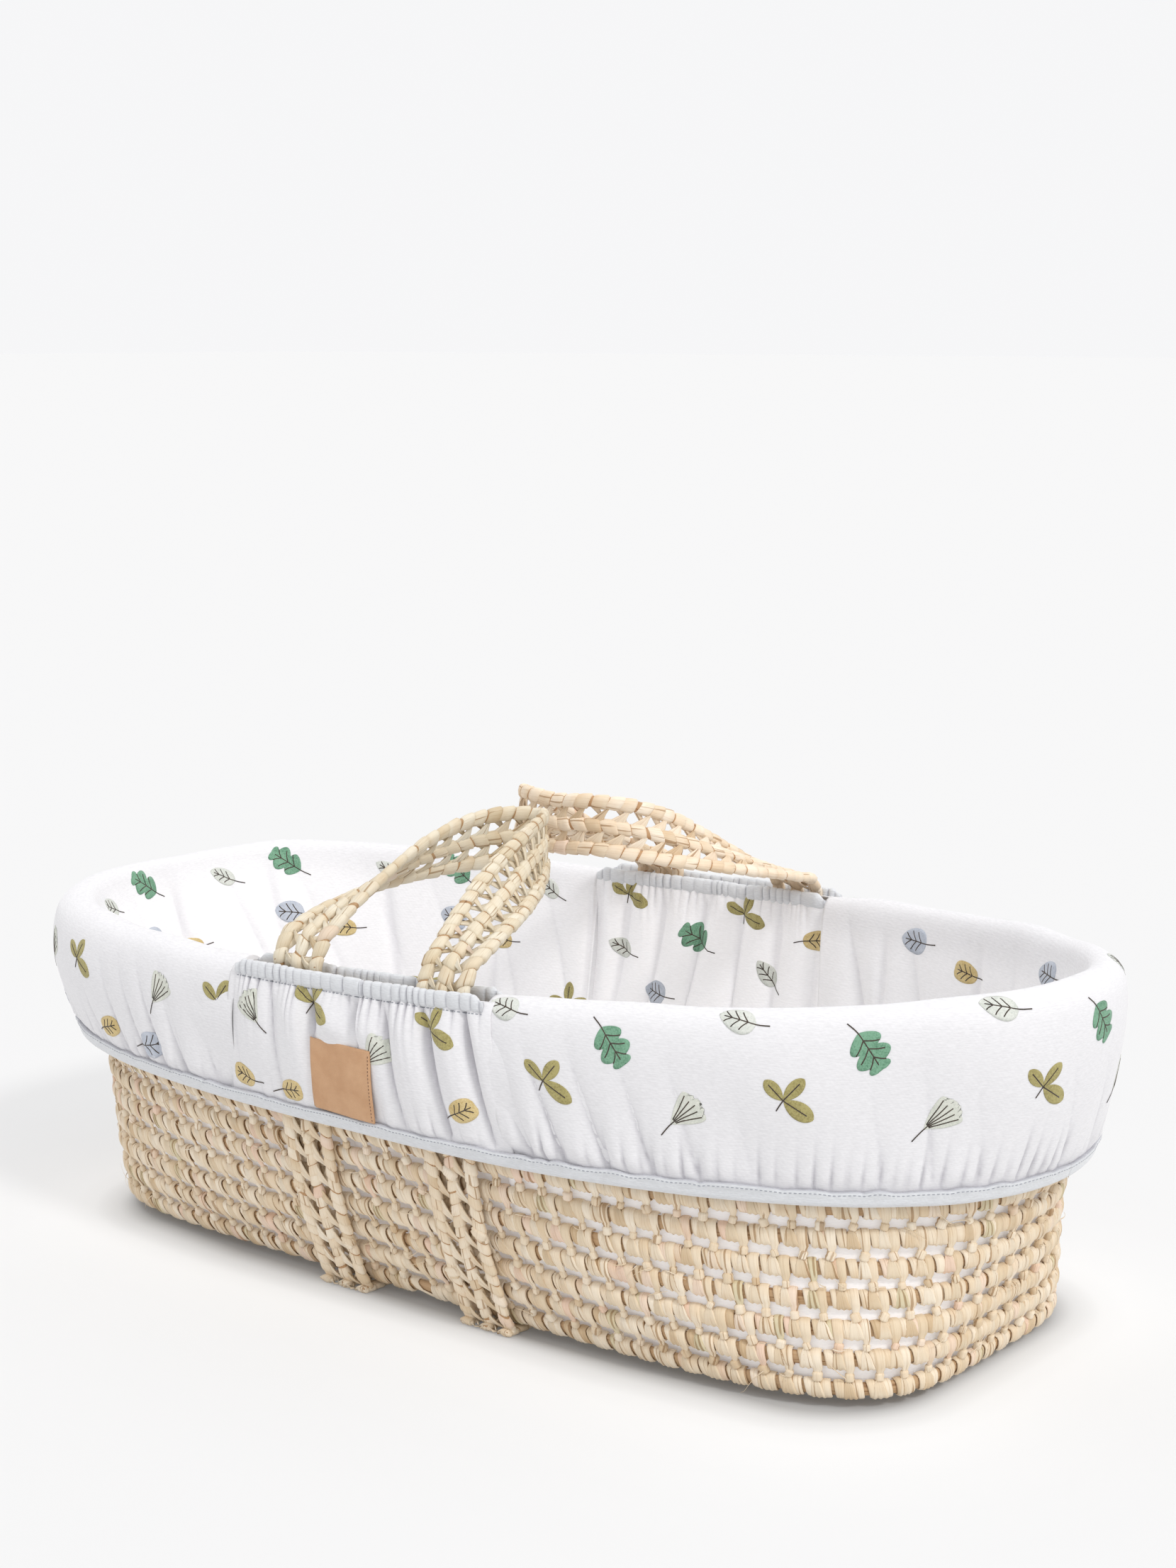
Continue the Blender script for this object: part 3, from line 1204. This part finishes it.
THREAD = cloth_material("binding_thread", rgb(150, 154, 162), weave=5200, rough=0.6)
for side_name, ends in (("near", NEAR_ENDS), ("far", FAR_ENDS)):
    outer_tube = make_slot_binding(f"{side_name}_slot_binding_outer", ends, 9.6, 71)
    inner_tube = make_slot_binding(f"{side_name}_slot_binding_inner", ends, -12.4, 72)
    place(outer_tube, "basket", "grey_binding", f"{side_name}_slot_bindings")
    place(inner_tube, "basket", "grey_binding")
    soup, fabric = Soup(), PANELS[f"{side_name}_outer"]
    row = int(np.argmin(np.abs(fabric.rows["outer"][0] - 236.3 * MM)))
    columns = fabric.grid.shape[0]
    stitches(soup, fabric, row, np.arange(6, columns - 6, STITCH_PITCH * columns / fabric.length))
    place(soup.make(f"{side_name}_slot_stitches", THREAD), "basket", "grey_binding")
make_hem()

# ---------------------------------------------------------------- printed leaves

# Length, width and stem in mm; low and high say how full a blade is near its stem and near its tip;
# lobes have their count and the depth of the notch between them
Leaf = namedtuple("Leaf", "length width low high lobes notch stem colour dark")
LEAVES = {
    "lobed": Leaf(27, 24, 0.32, 0.36, 2.5, 0.58, 9, rgb(122, 166, 138), rgb(84, 130, 102)),
    "sprig": Leaf(20, 10.5, 0.80, 0.62, 0, 0, 9, rgb(172, 162, 106), rgb(140, 129, 78)),
    "fan": Leaf(25, 23, 0.85, 0.10, 0, 0, 10, rgb(215, 216, 206), rgb(197, 201, 189)),
    "round": Leaf(23, 16, 0.36, 0.26, 0, 0, 9, rgb(214, 193, 142), rgb(195, 169, 110)),
    "ovate": Leaf(25, 20, 0.40, 0.60, 0, 0, 10, rgb(194, 199, 209), rgb(171, 179, 192)),
    "pale": Leaf(24, 15, 0.50, 0.70, 0, 0, 9, rgb(216, 218, 211), rgb(194, 198, 190)),
}
SPRIG = ((82, 0.86), (-4, 0.92), (-84, 1.12))  # turn and size of a sprig's three leaflets
MIDDLE = 0.45  # the share of a leaf's length below the point it is placed by
LEAF_HIGH, LEAF_LOW = 0.30 * MM, 0.05 * MM  # heights of a blade's face and edge over the cloth
VEIN = np.array([(-1, 0), (-0.5, 1), (0.5, 1), (1, 0)])


def blade(kind):
    """A leaf blade's rows of points from stem to tip, in mm."""
    leaf = LEAVES[kind]
    s = np.linspace(0.0, 1.0, 45 if leaf.lobes else 21)
    body = np.clip(s, 0.004, 1) ** leaf.low * np.clip(1 - s, 0.004, 1) ** leaf.high
    half = body / body.max() * leaf.width / 2
    c = np.linspace(-1, 1, 31 if kind == "fan" else 9)
    if leaf.lobes:
        half = half * (1 - leaf.notch + leaf.notch * np.abs(np.sin(np.pi * leaf.lobes * s)) ** 0.55)
    x = c * half[:, None]
    y = s[:, None] * leaf.length + 0 * c
    if leaf.lobes:
        y = y + c * c * half[:, None] * 0.15
    if kind == "fan":
        y = y * (0.94 + 0.10 * np.abs(np.sin(c * 2.5 * np.pi)) - 0.14 * c * c)
    return x, y - leaf.length * MIDDLE


def turned(x, y, degrees):
    a = math.radians(degrees)
    return x * math.cos(a) - y * math.sin(a), x * math.sin(a) + y * math.cos(a)


def veins(kind):
    """The stem, the middle vein and the side veins as polylines in mm."""
    if kind == "sprig":
        stem = [(1.0, -8), (0.4, -4), (0, 0)]
        return [stem] + [[turned(0, y * scale, spread) for y in (0, 6, 12, 16)] for spread, scale in SPRIG]
    length, width, stem = LEAVES[kind].length, LEAVES[kind].width, LEAVES[kind].stem
    base = -length * MIDDLE
    middle = [(1.5, base - stem), (0.6, base - stem * 0.5), (0, base), (0, base + length * 0.4)]
    lines = [middle + [(0, base + length * 0.86)]]
    if kind == "fan":
        for x in (-0.38, -0.18, 0.18, 0.38):
            tip = (x * width, base + length * 0.8)
            lines.append([(x * 4, base + 3), (x * width * 0.6, base + length * 0.5), tip])
        return lines
    for s in (0.2, 0.42, 0.64):
        for side in (-1, 1):
            reach = width * (0.36 if s < 0.6 else 0.24)
            tip = (side * reach, base + length * (s + 0.2))
            lines.append([(0, base + length * s), (side * reach * 0.55, base + length * (s + 0.13)), tip])
    return lines


class Printer:
    """Lays leaves on fabrics and gathers them by kind."""

    def __init__(self):
        self.blades = {kind: Soup() for kind in LEAVES}
        self.lines = Soup()

    def leaf(self, kind, fabric, i, j, way, degrees):
        """One leaf at grid place i, j; way is the sign of i and j to the leaf's right and upwards."""
        run, rise = fabric.pitch(i, j)

        def on_cloth(x, y, lift):
            x, y = turned(np.asarray(x, float), np.asarray(y, float), degrees)
            return fabric.at(i + way[0] * x * MM / run, j + way[1] * y * MM / rise, lift)

        for spread, scale in SPRIG if kind == "sprig" else [(0, 1)]:
            x, y = blade(kind)
            if kind == "sprig":
                x, y = turned(x * scale, (y + LEAVES[kind].length * 0.47) * scale, spread)
            top, low = on_cloth(x, y, LEAF_HIGH), on_cloth(x, y, LEAF_LOW)
            rings = np.concatenate([top, low[:, ::-1]], axis=1)
            if way[0] * way[1] < 0:
                rings = rings[:, ::-1]
            tone = np.array([(i * 0.37 + j * 0.11) % 1.0])
            self.blades[kind].tubes(rings[None], tone, np.zeros(rings.shape[1]), np.zeros((1, len(rings))))
        for line in veins(kind):
            points = spline(np.array(line, float), 3.0)
            p = on_cloth(points[:, 0], points[:, 1], LEAF_HIGH)
            lifted = on_cloth(points[:, 0], points[:, 1], LEAF_HIGH + MM)
            normal = unit(lifted - p)
            wide = np.cross(unit(np.gradient(p, axis=0)), normal)
            half = np.full((1, len(p)), 0.42 * MM)
            strips(self.lines, p[None], wide[None], normal[None], half, half * 0.5, VEIN, np.array([0.5]))

    def cover(self, fabric, zone, repeat, motif, way, from_end=False):
        """Lays a motif of (kind, run in mm, height in mm, turn) along a zone.

        It comes again every repeat mm, or only once where repeat is 0."""
        heights, first = fabric.rows[zone]
        n = fabric.grid.shape[0]
        total = fabric.length
        order = np.argsort(heights)
        for kind, run, height, degrees in motif:
            for s in np.arange(run, total / MM - 2, repeat)[:20] * MM if repeat else [run * MM]:
                s = total - s if from_end else s
                j = first + np.interp(height * MM, heights[order], order)
                self.leaf(kind, fabric, s / total * (n - 1), j, way, degrees)

    def make(self):
        for kind, soup in self.blades.items():
            ink = print_material(f"print_{kind}", LEAVES[kind].colour, LEAVES[kind].dark)
            place(soup.make(f"print_{kind}_leaves", ink), "basket", "liner_print")
        ink = print_material("print_ink", rgb(74, 62, 50), rgb(48, 40, 34))
        place(self.lines.make("print_veins", ink), "basket", "liner_print")


HEAD_SKIRT = [
    ("pale", 14, 242, 75), ("sprig", 42, 200, -38), ("lobed", 90, 226, -145), ("fan", 135, 188, -50),
]
FOOT_SKIRT = [
    ("sprig", 16, 214, -30), ("fan", 76, 210, -35), ("ovate", 92, 165, -80), ("round", 148, 168, -75),
]
OUTER_LEAVES = [
    ("fan", 26, 214, 40), ("round", 16, 162, 80), ("round", 58, 160, -80), ("sprig", 78, 226, -30),
    ("fan", 140, 200, -50), ("sprig", 190, 222, -25), ("round", 206, 172, -65),
]
INNER_LEAVES = [
    ("round", 14, 212, -85), ("pale", 60, 180, 40), ("sprig", 84, 224, -20), ("lobed", 128, 200, 60),
    ("ovate", 162, 150, 80), ("pale", 204, 182, 70), ("sprig", 200, 228, -20), ("fan", 60, 110, 30),
    ("round", 140, 90, -60),
]
HEAD_INNER = [
    ("ovate", 100, 226, 85), ("round", 160, 212, 80), ("sprig", 50, 150, 0), ("lobed", 110, 120, 40),
    ("fan", 20, 95, -30),
]
FOOT_INNER = [
    ("pale", 45, 226, 60), ("round", 98, 176, 85), ("lobed", 138, 232, 50), ("ovate", 146, 190, 80),
    ("sprig", 20, 130, 0), ("fan", 80, 110, 30), ("lobed", 130, 90, 10),
]


def make_prints():
    printer = Printer()
    out, inn = (1, -1), (-1, 1)  # which way the grid runs to a leaf's right and upwards, outside and inside
    printer.cover(ROLLS["head"], "skirt", 155, HEAD_SKIRT, out)
    printer.cover(ROLLS["foot"], "skirt", 165, FOOT_SKIRT, out, from_end=True)
    printer.cover(ROLLS["head"], "inner", 165, HEAD_INNER, inn, from_end=True)
    printer.cover(ROLLS["foot"], "inner", 160, FOOT_INNER, inn)
    for side in ("near", "far"):
        printer.cover(PANELS[f"{side}_outer"], "outer", 0, OUTER_LEAVES, out)
    for side in ("near", "far"):
        printer.cover(PANELS[f"{side}_inner"], "inner", 0, INNER_LEAVES, inn)
    printer.make()


make_prints()

# ---------------------------------------------------------------- label


def leather_material():
    n = Look("label_leatherette", 0.6, Specular_IOR_Level=0.35)
    at = n.place()
    grain = n.add("ShaderNodeTexVoronoi", {"Vector": at, "Scale": 1400.0}, feature="F1").outputs["Distance"]
    cloud = n.noise(at, 60.0, 4.0, 0.6)
    fine = n.noise(at, 2400.0, 2.0, 0.6)
    colour = n.ramp(cloud, [(0.3, rgb(196, 152, 114)), (0.7, rgb(210, 168, 130))])
    colour = n.mix(0.5, colour, n.ramp(fine, [(0.3, 0.82), (0.7, 1.0)]), "MULTIPLY")
    rough = n.ramp(fine, [(0.3, 0.5), (0.7, 0.72)])
    return n.set(Base_Color=colour, Normal=n.bump(grain, 0.35, 0.00025), Roughness=rough)


def make_label():
    """A blank leatherette tag, stitched at its head end and folded under at its foot end."""
    low, high = LABEL_LOW[2] / MM, LABEL_HIGH[2] / MM
    off = 17.6  # of its face from the wall, in mm
    face = [(off, low + 1), (off + 0.6, low + 17), (off + 0.6, low + 34), (off - 0.4, high - 1)]
    loop = face + [(off - 0.9, high - 0.2), (off - 1.8, high - 0.8)]
    loop += [(o - 1.5, z) for o, z in face[::-1]] + [(off - 0.9, low + 0.2)]
    section = spline(np.array([(o, z, 0) for o, z in loop]) * MM, 1.5 * MM, True)[:-1]
    grid, run = lay(section, ((-1, LABEL_LOW[0]), (-1, LABEL_HIGH[0])), 1.5 * MM)
    share = run / run[-1]
    sink = (1 - smooth(share / 0.08)) * 3.0 + np.sin(share * np.pi * 1.6 + 0.5) * 0.7
    tilt = (share - 0.5) * -1.5
    fabric = Fabric(grid, True)
    outward = unit(np.array([0.0, -1.0, 0.15]))
    fabric.grid = fabric.grid - outward * (sink[:, None, None] * MM)
    fabric.grid[..., 2] += tilt[:, None] * MM
    fabric.refresh()
    place(fabric.make("label_tag", leather_material()), "basket", "label_leather", "label")
    soup = Soup()
    column = int(len(run) * 0.955)  # the seam, close to the head end
    rows = [j for j in range(len(section)) if section[j, 0] > (off - 0.7) * MM]
    seam = fabric.grid[column, rows] + fabric.normal[column, rows] * 0.1 * MM
    path = spline(seam[np.argsort(seam[:, 2])], 0.5 * MM)
    starts = np.arange(3, len(path) - 6, 5)
    dashes(soup, path[starts], path[starts + 3], np.tile([1.0, 0, 0], (len(starts), 1)), 0.42 * MM)
    thread = cloth_material("label_thread", rgb(122, 86, 56), weave=5200, rough=0.6)
    place(soup.make("label_stitches", thread), "basket", "label_leather")


make_label()

# ---------------------------------------------------------------- mattress


PAD_SQUARE = 5  # how square the mattress's corners are


def pad_outline(t, half, z):
    """Points of the mattress's outline, a rounded rectangle with these half sizes, at angle t."""
    centre = (MAT_LOW + MAT_HIGH) / 2
    x, y = (signed_power(v, 2 / PAD_SQUARE) for v in (np.cos(t), np.sin(t)))
    return np.stack([centre[0] + half[0] * x, centre[1] + half[1] * y, np.full(t.shape, z)], axis=1)


def make_mattress():
    """A thin quilted mattress: its cover is blown out a little by a cloth simulation."""
    half = (MAT_HIGH - MAT_LOW) / 2
    middle = (MAT_LOW[2] + MAT_HIGH[2]) / 2
    ang = np.linspace(0, TAU, 181)[:-1]
    levels = [(-1, 0.965), (-0.93, 0.99), (-0.4, 1), (0.4, 1), (0.93, 0.99), (1, 0.965)]  # height, size
    inside = 2 * MM  # the cover starts this much inside its box
    rings = [pad_outline(ang, half * s - inside, middle + level * (half[2] - inside)) for level, s in levels]
    index = np.arange(len(levels) * len(ang)).reshape(len(levels), -1)
    nxt = np.roll(index, -1, axis=1)
    faces = np.stack([index[:-1], nxt[:-1], nxt[1:], index[1:]], axis=-1).reshape(-1, 4).tolist()
    faces += [index[0, ::-1].tolist(), index[-1].tolist()]
    mesh = bpy.data.meshes.new("mattress_cover")
    mesh.from_pydata(np.concatenate(rings).tolist(), [], faces)
    piece = finish_object("mattress_cover", mesh, [MATTRESS])
    blow_up(piece, voxel=6 * MM, pressure=4.0, frames=20, cap=5 * MM)
    quilt(piece, MAT_HIGH[2])
    place(piece, "mattress", "mattress_cover", "mattress_cover_top", "mattress_cover_base", "mattress_core")


def make_zip():
    """The zip's tape round the cover."""
    half = (MAT_HIGH - MAT_LOW) / 2
    low, high = node_box("mattress_zip")
    path = pad_outline(np.linspace(0, TAU, 700), half + 0.6 * MM, (low[2] + high[2]) / 2)
    path = spline(path[:-1:2], 2 * MM, True)
    up = np.tile([0, 0, 1.0], (len(path), 1))
    out = np.cross(unit(np.gradient(path, axis=0)), up)
    soup = Soup()
    sweep_tube(soup, path, up, out, np.full(len(path), 2 * MM), np.full(len(path), 1.2 * MM), corners=8)
    place(soup.make("mattress_zip_tape", GREY), "mattress", "mattress_zip", "mattress_zip")


def apply_modifiers(obj):
    graph = bpy.context.evaluated_depsgraph_get()
    mesh = bpy.data.meshes.new_from_object(obj.evaluated_get(graph))
    obj.modifiers.clear()
    obj.data = mesh
    shade_smooth(mesh)


def coordinates(mesh):
    co = np.empty(len(mesh.vertices) * 3)
    mesh.vertices.foreach_get("co", co)
    return co.reshape(-1, 3)


def blow_up(obj, voxel, pressure, frames, cap):
    """Remeshes a closed piece, lets cloth pressure swell it by no more than cap, and keeps the result."""
    remesh = obj.modifiers.new("remesh", "REMESH")
    remesh.mode = "VOXEL"
    remesh.voxel_size = voxel
    apply_modifiers(obj)
    start = coordinates(obj.data)
    cloth = obj.modifiers.new("cloth", "CLOTH")
    cloth.settings.use_pressure = True
    cloth.settings.uniform_pressure_force = pressure
    cloth.settings.effector_weights.gravity = 0
    cloth.settings.mass = 0.3
    scene = bpy.context.scene
    for number in range(1, frames + 1):
        scene.frame_set(number)
    apply_modifiers(obj)
    scene.frame_set(1)
    moved = coordinates(obj.data) - start
    far = np.linalg.norm(moved, axis=1, keepdims=True)
    moved = moved * np.minimum(1, cap / np.maximum(far, 1e-9))
    obj.data.vertices.foreach_set("co", (start + moved).ravel())
    obj.data.update()


def quilt(obj, top):
    """Presses sewn lines into the upper side, crossed and slantwise."""
    co = coordinates(obj.data)
    upper = smooth((co[:, 2] - (top - 8 * MM)) / (6 * MM))
    spacing = 62 * MM
    for sign in (1, -1):
        across = (co[:, 0] + sign * co[:, 1]) / math.sqrt(2)
        near = np.abs(np.mod(across + spacing / 2, spacing) - spacing / 2)
        co[:, 2] -= upper * np.exp(-((near / (5 * MM)) ** 2)) * 2.4 * MM
    co[:, 2] = np.clip(co[:, 2], MAT_LOW[2], top + 3 * MM)
    obj.data.vertices.foreach_set("co", co.ravel())
    subdivide = obj.modifiers.new("smooth", "SUBSURF")
    subdivide.levels = subdivide.render_levels = 1
    obj.data.update()


MATTRESS = cloth_material("mattress_cotton", rgb(216, 216, 215), weave=2200, rough=0.85)
make_mattress()
make_zip()

# ---------------------------------------------------------------- woven floor, head row and lashings


FLOOR_RINGS = 8


def ring_place(off, z):
    """A closed line round the floor, off from the outline of the lowest row."""
    ring = wall(np.linspace(0, 1, 721), ROW_Z[0], off)
    ring[:, 2] = z
    return ring


def make_floor_weave():
    """The floor's rings of rope, and the ties between them."""
    rng = np.random.default_rng(81)
    soup, ties = Soup(), Soup()
    middle = (BASE_LOW + BASE_HIGH) / 2
    for k in range(FLOOR_RINGS):
        off = -8.6 * MM - k * ROW_PITCH - ROW_H / 2
        flat = ring_place(off, middle)
        inward = ring_place(off - MM, middle) - flat
        ribbon = Ribbon(flat, inward)
        wound_rail(soup, ribbon, wrap=10 * MM, half_w=6.6 * MM, half_t=3.3 * MM, slant=0.2, rng=rng)
        if k < FLOOR_RINGS - 1:
            gap = ring_place(off - ROW_PITCH / 2, middle)
            count = int(ribbon.run[-1] / (21 * MM))
            s = (np.arange(count) + 0.5 * (k % 2)) / count * (len(gap) - 1)
            pick = s.astype(int) % (len(gap) - 1)
            tangent = unit(np.gradient(gap, axis=0))[pick]
            up = np.tile([0, 0, 1.0], (count, 1))
            lumps(ties, gap[pick], tangent, np.cross(up, tangent), -up, (3.6 * MM, 6.0 * MM, 2.2 * MM), rng)
    place(soup.make("floor_weave", PALM), "basket", "palm_rows", "base_rows")
    place(ties.make("floor_ties", PALM), "basket", "palm_ties", "base_ties")


def make_head_row():
    """The short row that lifts the liner at the head end."""
    low, high = node_box("head_row")
    z = (low[2] + high[2]) / 2
    u = np.linspace(-0.25, 0.25, 2001)
    p = wall(u, RIM_Z, -ROW_T / 2)
    p[:, 2] = z
    p = p[p[:, 0] > low[0]][::6]
    rng = np.random.default_rng(83)
    soup, ties = Soup(), Soup()
    up = np.tile([0, 0, 1.0], (len(p), 1))
    wound_rail(soup, Ribbon(p, up), wrap=7 * MM, half_w=6.3 * MM, half_t=3.6 * MM, slant=0.3, rng=rng)
    place(soup.make("head_row_weave", PALM), "basket", "palm_rows", "head_row")
    pick = np.arange(4, len(p) - 4, max(len(p) // 16, 1))
    at = p[pick] - np.array([0, 0, ROW_PITCH / 2])
    along = unit(np.gradient(p, axis=0))[pick]
    lumps(ties, at, along, up[pick], np.cross(along, up[pick]), (3 * MM, 4.6 * MM, 2.4 * MM), rng)
    place(ties.make("head_row_ties", PALM), "basket", "palm_ties", "head_ties")


def make_lashings():
    """Small knots that hold the bands to the wall."""
    rng = np.random.default_rng(85)
    soup = Soup()
    for x in (-BAND_X, BAND_X):
        route = band_route(x)
        ribbon = Ribbon(route, np.tile([1.0, 0, 0], (len(route), 1)))
        for gap in (2, 4, 6):
            z = ROW_Z[gap - 1] + ROW_PITCH / 2
            for side in (-1, 1):
                elsewhere = np.sign(route[:, 1]) != side
                k = int(np.argmin(np.abs(route[:, 2] - z) + elsewhere))
                across, run, out = ribbon.wide[k], ribbon.along[k], ribbon.out[k]
                at = route[k] + across * RAIL_PITCH * rng.choice([-1, 0, 1]) + out * 1.6 * MM
                axes = across[None], run[None], out[None]
                lumps(soup, at[None], *axes, (6.2 * MM, 3.4 * MM, 2.4 * MM), rng, spin=0.5)
                lumps(soup, (at + run * 3 * MM)[None], *axes, (4.0 * MM, 2.6 * MM, 2.2 * MM), rng, spin=0.9)
    place(soup.make("band_lashing_knots", PALM), "basket", "palm_lace", "band_lashings")


def make_fibres():
    """Loose ends of leaf that stand off the weave."""
    rng = np.random.default_rng(87)
    soup = Soup()
    count, gaps = 120, range(1, FINE_ROWS)
    gap = rng.integers(gaps[0], gaps[-1] + 1, count)
    for g in gaps:
        u = rng.random(int((gap == g).sum()))
        at, along, up, out = knot_place(g, u)
        t = np.linspace(0, 1, 6)[None, :, None]
        length = rng.uniform(6, 20, (len(u), 1, 1)) * MM
        bend = rng.uniform(-1, 1, (len(u), 1, 1))
        course = along[:, None] * rng.choice([-1, 1], (len(u), 1, 1)) + up[:, None] * bend
        path = at[:, None] + out[:, None] * (2.5 * MM + np.sin(t * 2.6) * 2.2 * MM) + course * t * length
        path = path + up[:, None] * (t * t) * length * rng.uniform(-0.6, 0.6, (len(u), 1, 1))
        wide = np.tile(up[:, None], (1, 6, 1))
        normal = np.tile(out[:, None], (1, 6, 1))
        path[..., 2] = np.maximum(path[..., 2], 2 * MM)
        half = np.linspace(0.5, 0.12, 6) * MM * np.ones((len(u), 1))
        strips(soup, path, wide, normal, half, half * 0.6, VEIN, rng.uniform(0.2, 0.8, len(u)))
    place(soup.make("loose_fibres", PALM), "basket", "palm_ties")


make_floor_weave()
make_head_row()
make_lashings()
make_fibres()

# ---------------------------------------------------------------- floor, lights and camera

BACKDROP, SKY = 0.925, ((0.42, 0.60), (0.75, 1.22))  # glow at the horizon, and at two heights above it
# The floor's own glow by metres away from the base, and its plain grey
FLOOR_GLOW = [
    (0.0, 0.06), (0.018, 0.36), (0.04, 0.49), (0.06, 0.495), (0.08, 0.475), (0.11, 0.445), (0.16, 0.415),
    (0.22, 0.397), (0.33, 0.385), (0.45, 0.377), (1.0, 0.377),
]
FLOOR_SHADE = 0.435
BASE_CORNER, BASE_MARGIN = 0.08, 0.006  # radius of the shaded base's corners, and how far it is past the wall
END_FROM, END_EASE = 0.18, 0.09  # from this far along, the shade gets narrower by this share


def make_floor():
    """A wide floor that glows less near the base, as the soft shade under the basket."""
    mesh = bpy.data.meshes.new("floor")
    far = 60
    mesh.from_pydata([(-far, -far, 0), (far, -far, 0), (far, far, 0), (-far, far, 0)], [], [(0, 1, 2, 3)])
    n = Look("studio_floor", 0.95, Specular_IOR_Level=0.0)
    split = n.add("ShaderNodeSeparateXYZ", {"Vector": n.place()}).outputs
    beyond = []
    for axis, half, centre in (("X", BASE_HALF[0], BASE_SHIFT), ("Y", BASE_HALF[1], 0.0)):
        reach = n.math("ABSOLUTE", n.math("SUBTRACT", split[axis], centre))
        reach = n.math("MAXIMUM", n.math("SUBTRACT", reach, half + BASE_MARGIN - BASE_CORNER), 0.0)
        beyond.append(n.math("MULTIPLY", reach, reach))
    away = n.math("SUBTRACT", n.math("SQRT", n.math("ADD", *beyond)), BASE_CORNER)
    ends = n.math("MAXIMUM", n.math("SUBTRACT", n.math("ABSOLUTE", split["X"]), END_FROM), 0.0)
    away = n.math("ADD", away, n.math("MULTIPLY", ends, END_EASE))
    n.set(Emission_Color=(1, 1, 1, 1), Emission_Strength=n.ramp(away, FLOOR_GLOW))
    grey = n.set(Base_Color=(FLOOR_SHADE, FLOOR_SHADE, FLOOR_SHADE, 1))
    finish_object("floor", mesh, [grey])


def make_world():
    """A plain backdrop, brighter overhead."""
    world = bpy.data.worlds.new("studio")
    n = Nodes(world)
    sky = n.add("ShaderNodeTexCoord").outputs["Generated"]
    height = n.add("ShaderNodeSeparateXYZ", {"Vector": sky}).outputs["Z"]
    stops = [(at, (glow, glow, glow * 1.01, 1)) for at, glow in ((0.2, BACKDROP), *SKY)]
    n.feed(n.tree.nodes["Background"], {"Color": n.ramp(height, stops)})
    bpy.context.scene.world = world


def sun(name, toward, strength, spread, colour):
    """A sun that shines from the direction toward, with its disc's width in degrees."""
    light = bpy.data.lights.new(name, "SUN")
    light.energy = strength
    light.angle = math.radians(spread)
    light.color = colour
    obj = bpy.data.objects.new(name, light)
    obj.rotation_euler = Vector(toward).to_track_quat("Z", "Y").to_euler()
    bpy.context.collection.objects.link(obj)


def make_camera():
    camera = bpy.data.objects.new("camera", bpy.data.cameras.new("camera"))
    azimuth, pitch, distance = math.radians(38.64), math.radians(9.72), 1.919
    target = Vector((0.0238, 0, 0.3549))
    level = math.cos(pitch)
    back = Vector((math.sin(azimuth) * level, -math.cos(azimuth) * level, math.sin(pitch)))
    camera.location = target + back * distance
    camera.rotation_euler = (-back).to_track_quat("-Z", "Y").to_euler()
    camera.data.lens = 60.88
    camera.data.sensor_width = 36
    bpy.context.collection.objects.link(camera)
    bpy.context.scene.camera = camera


make_floor()
make_world()
sun("key", (1.5, -0.35, 1.6), strength=1.1, spread=10, colour=(1.0, 0.99, 0.975))
make_camera()
bpy.context.scene.view_settings.view_transform = "Standard"
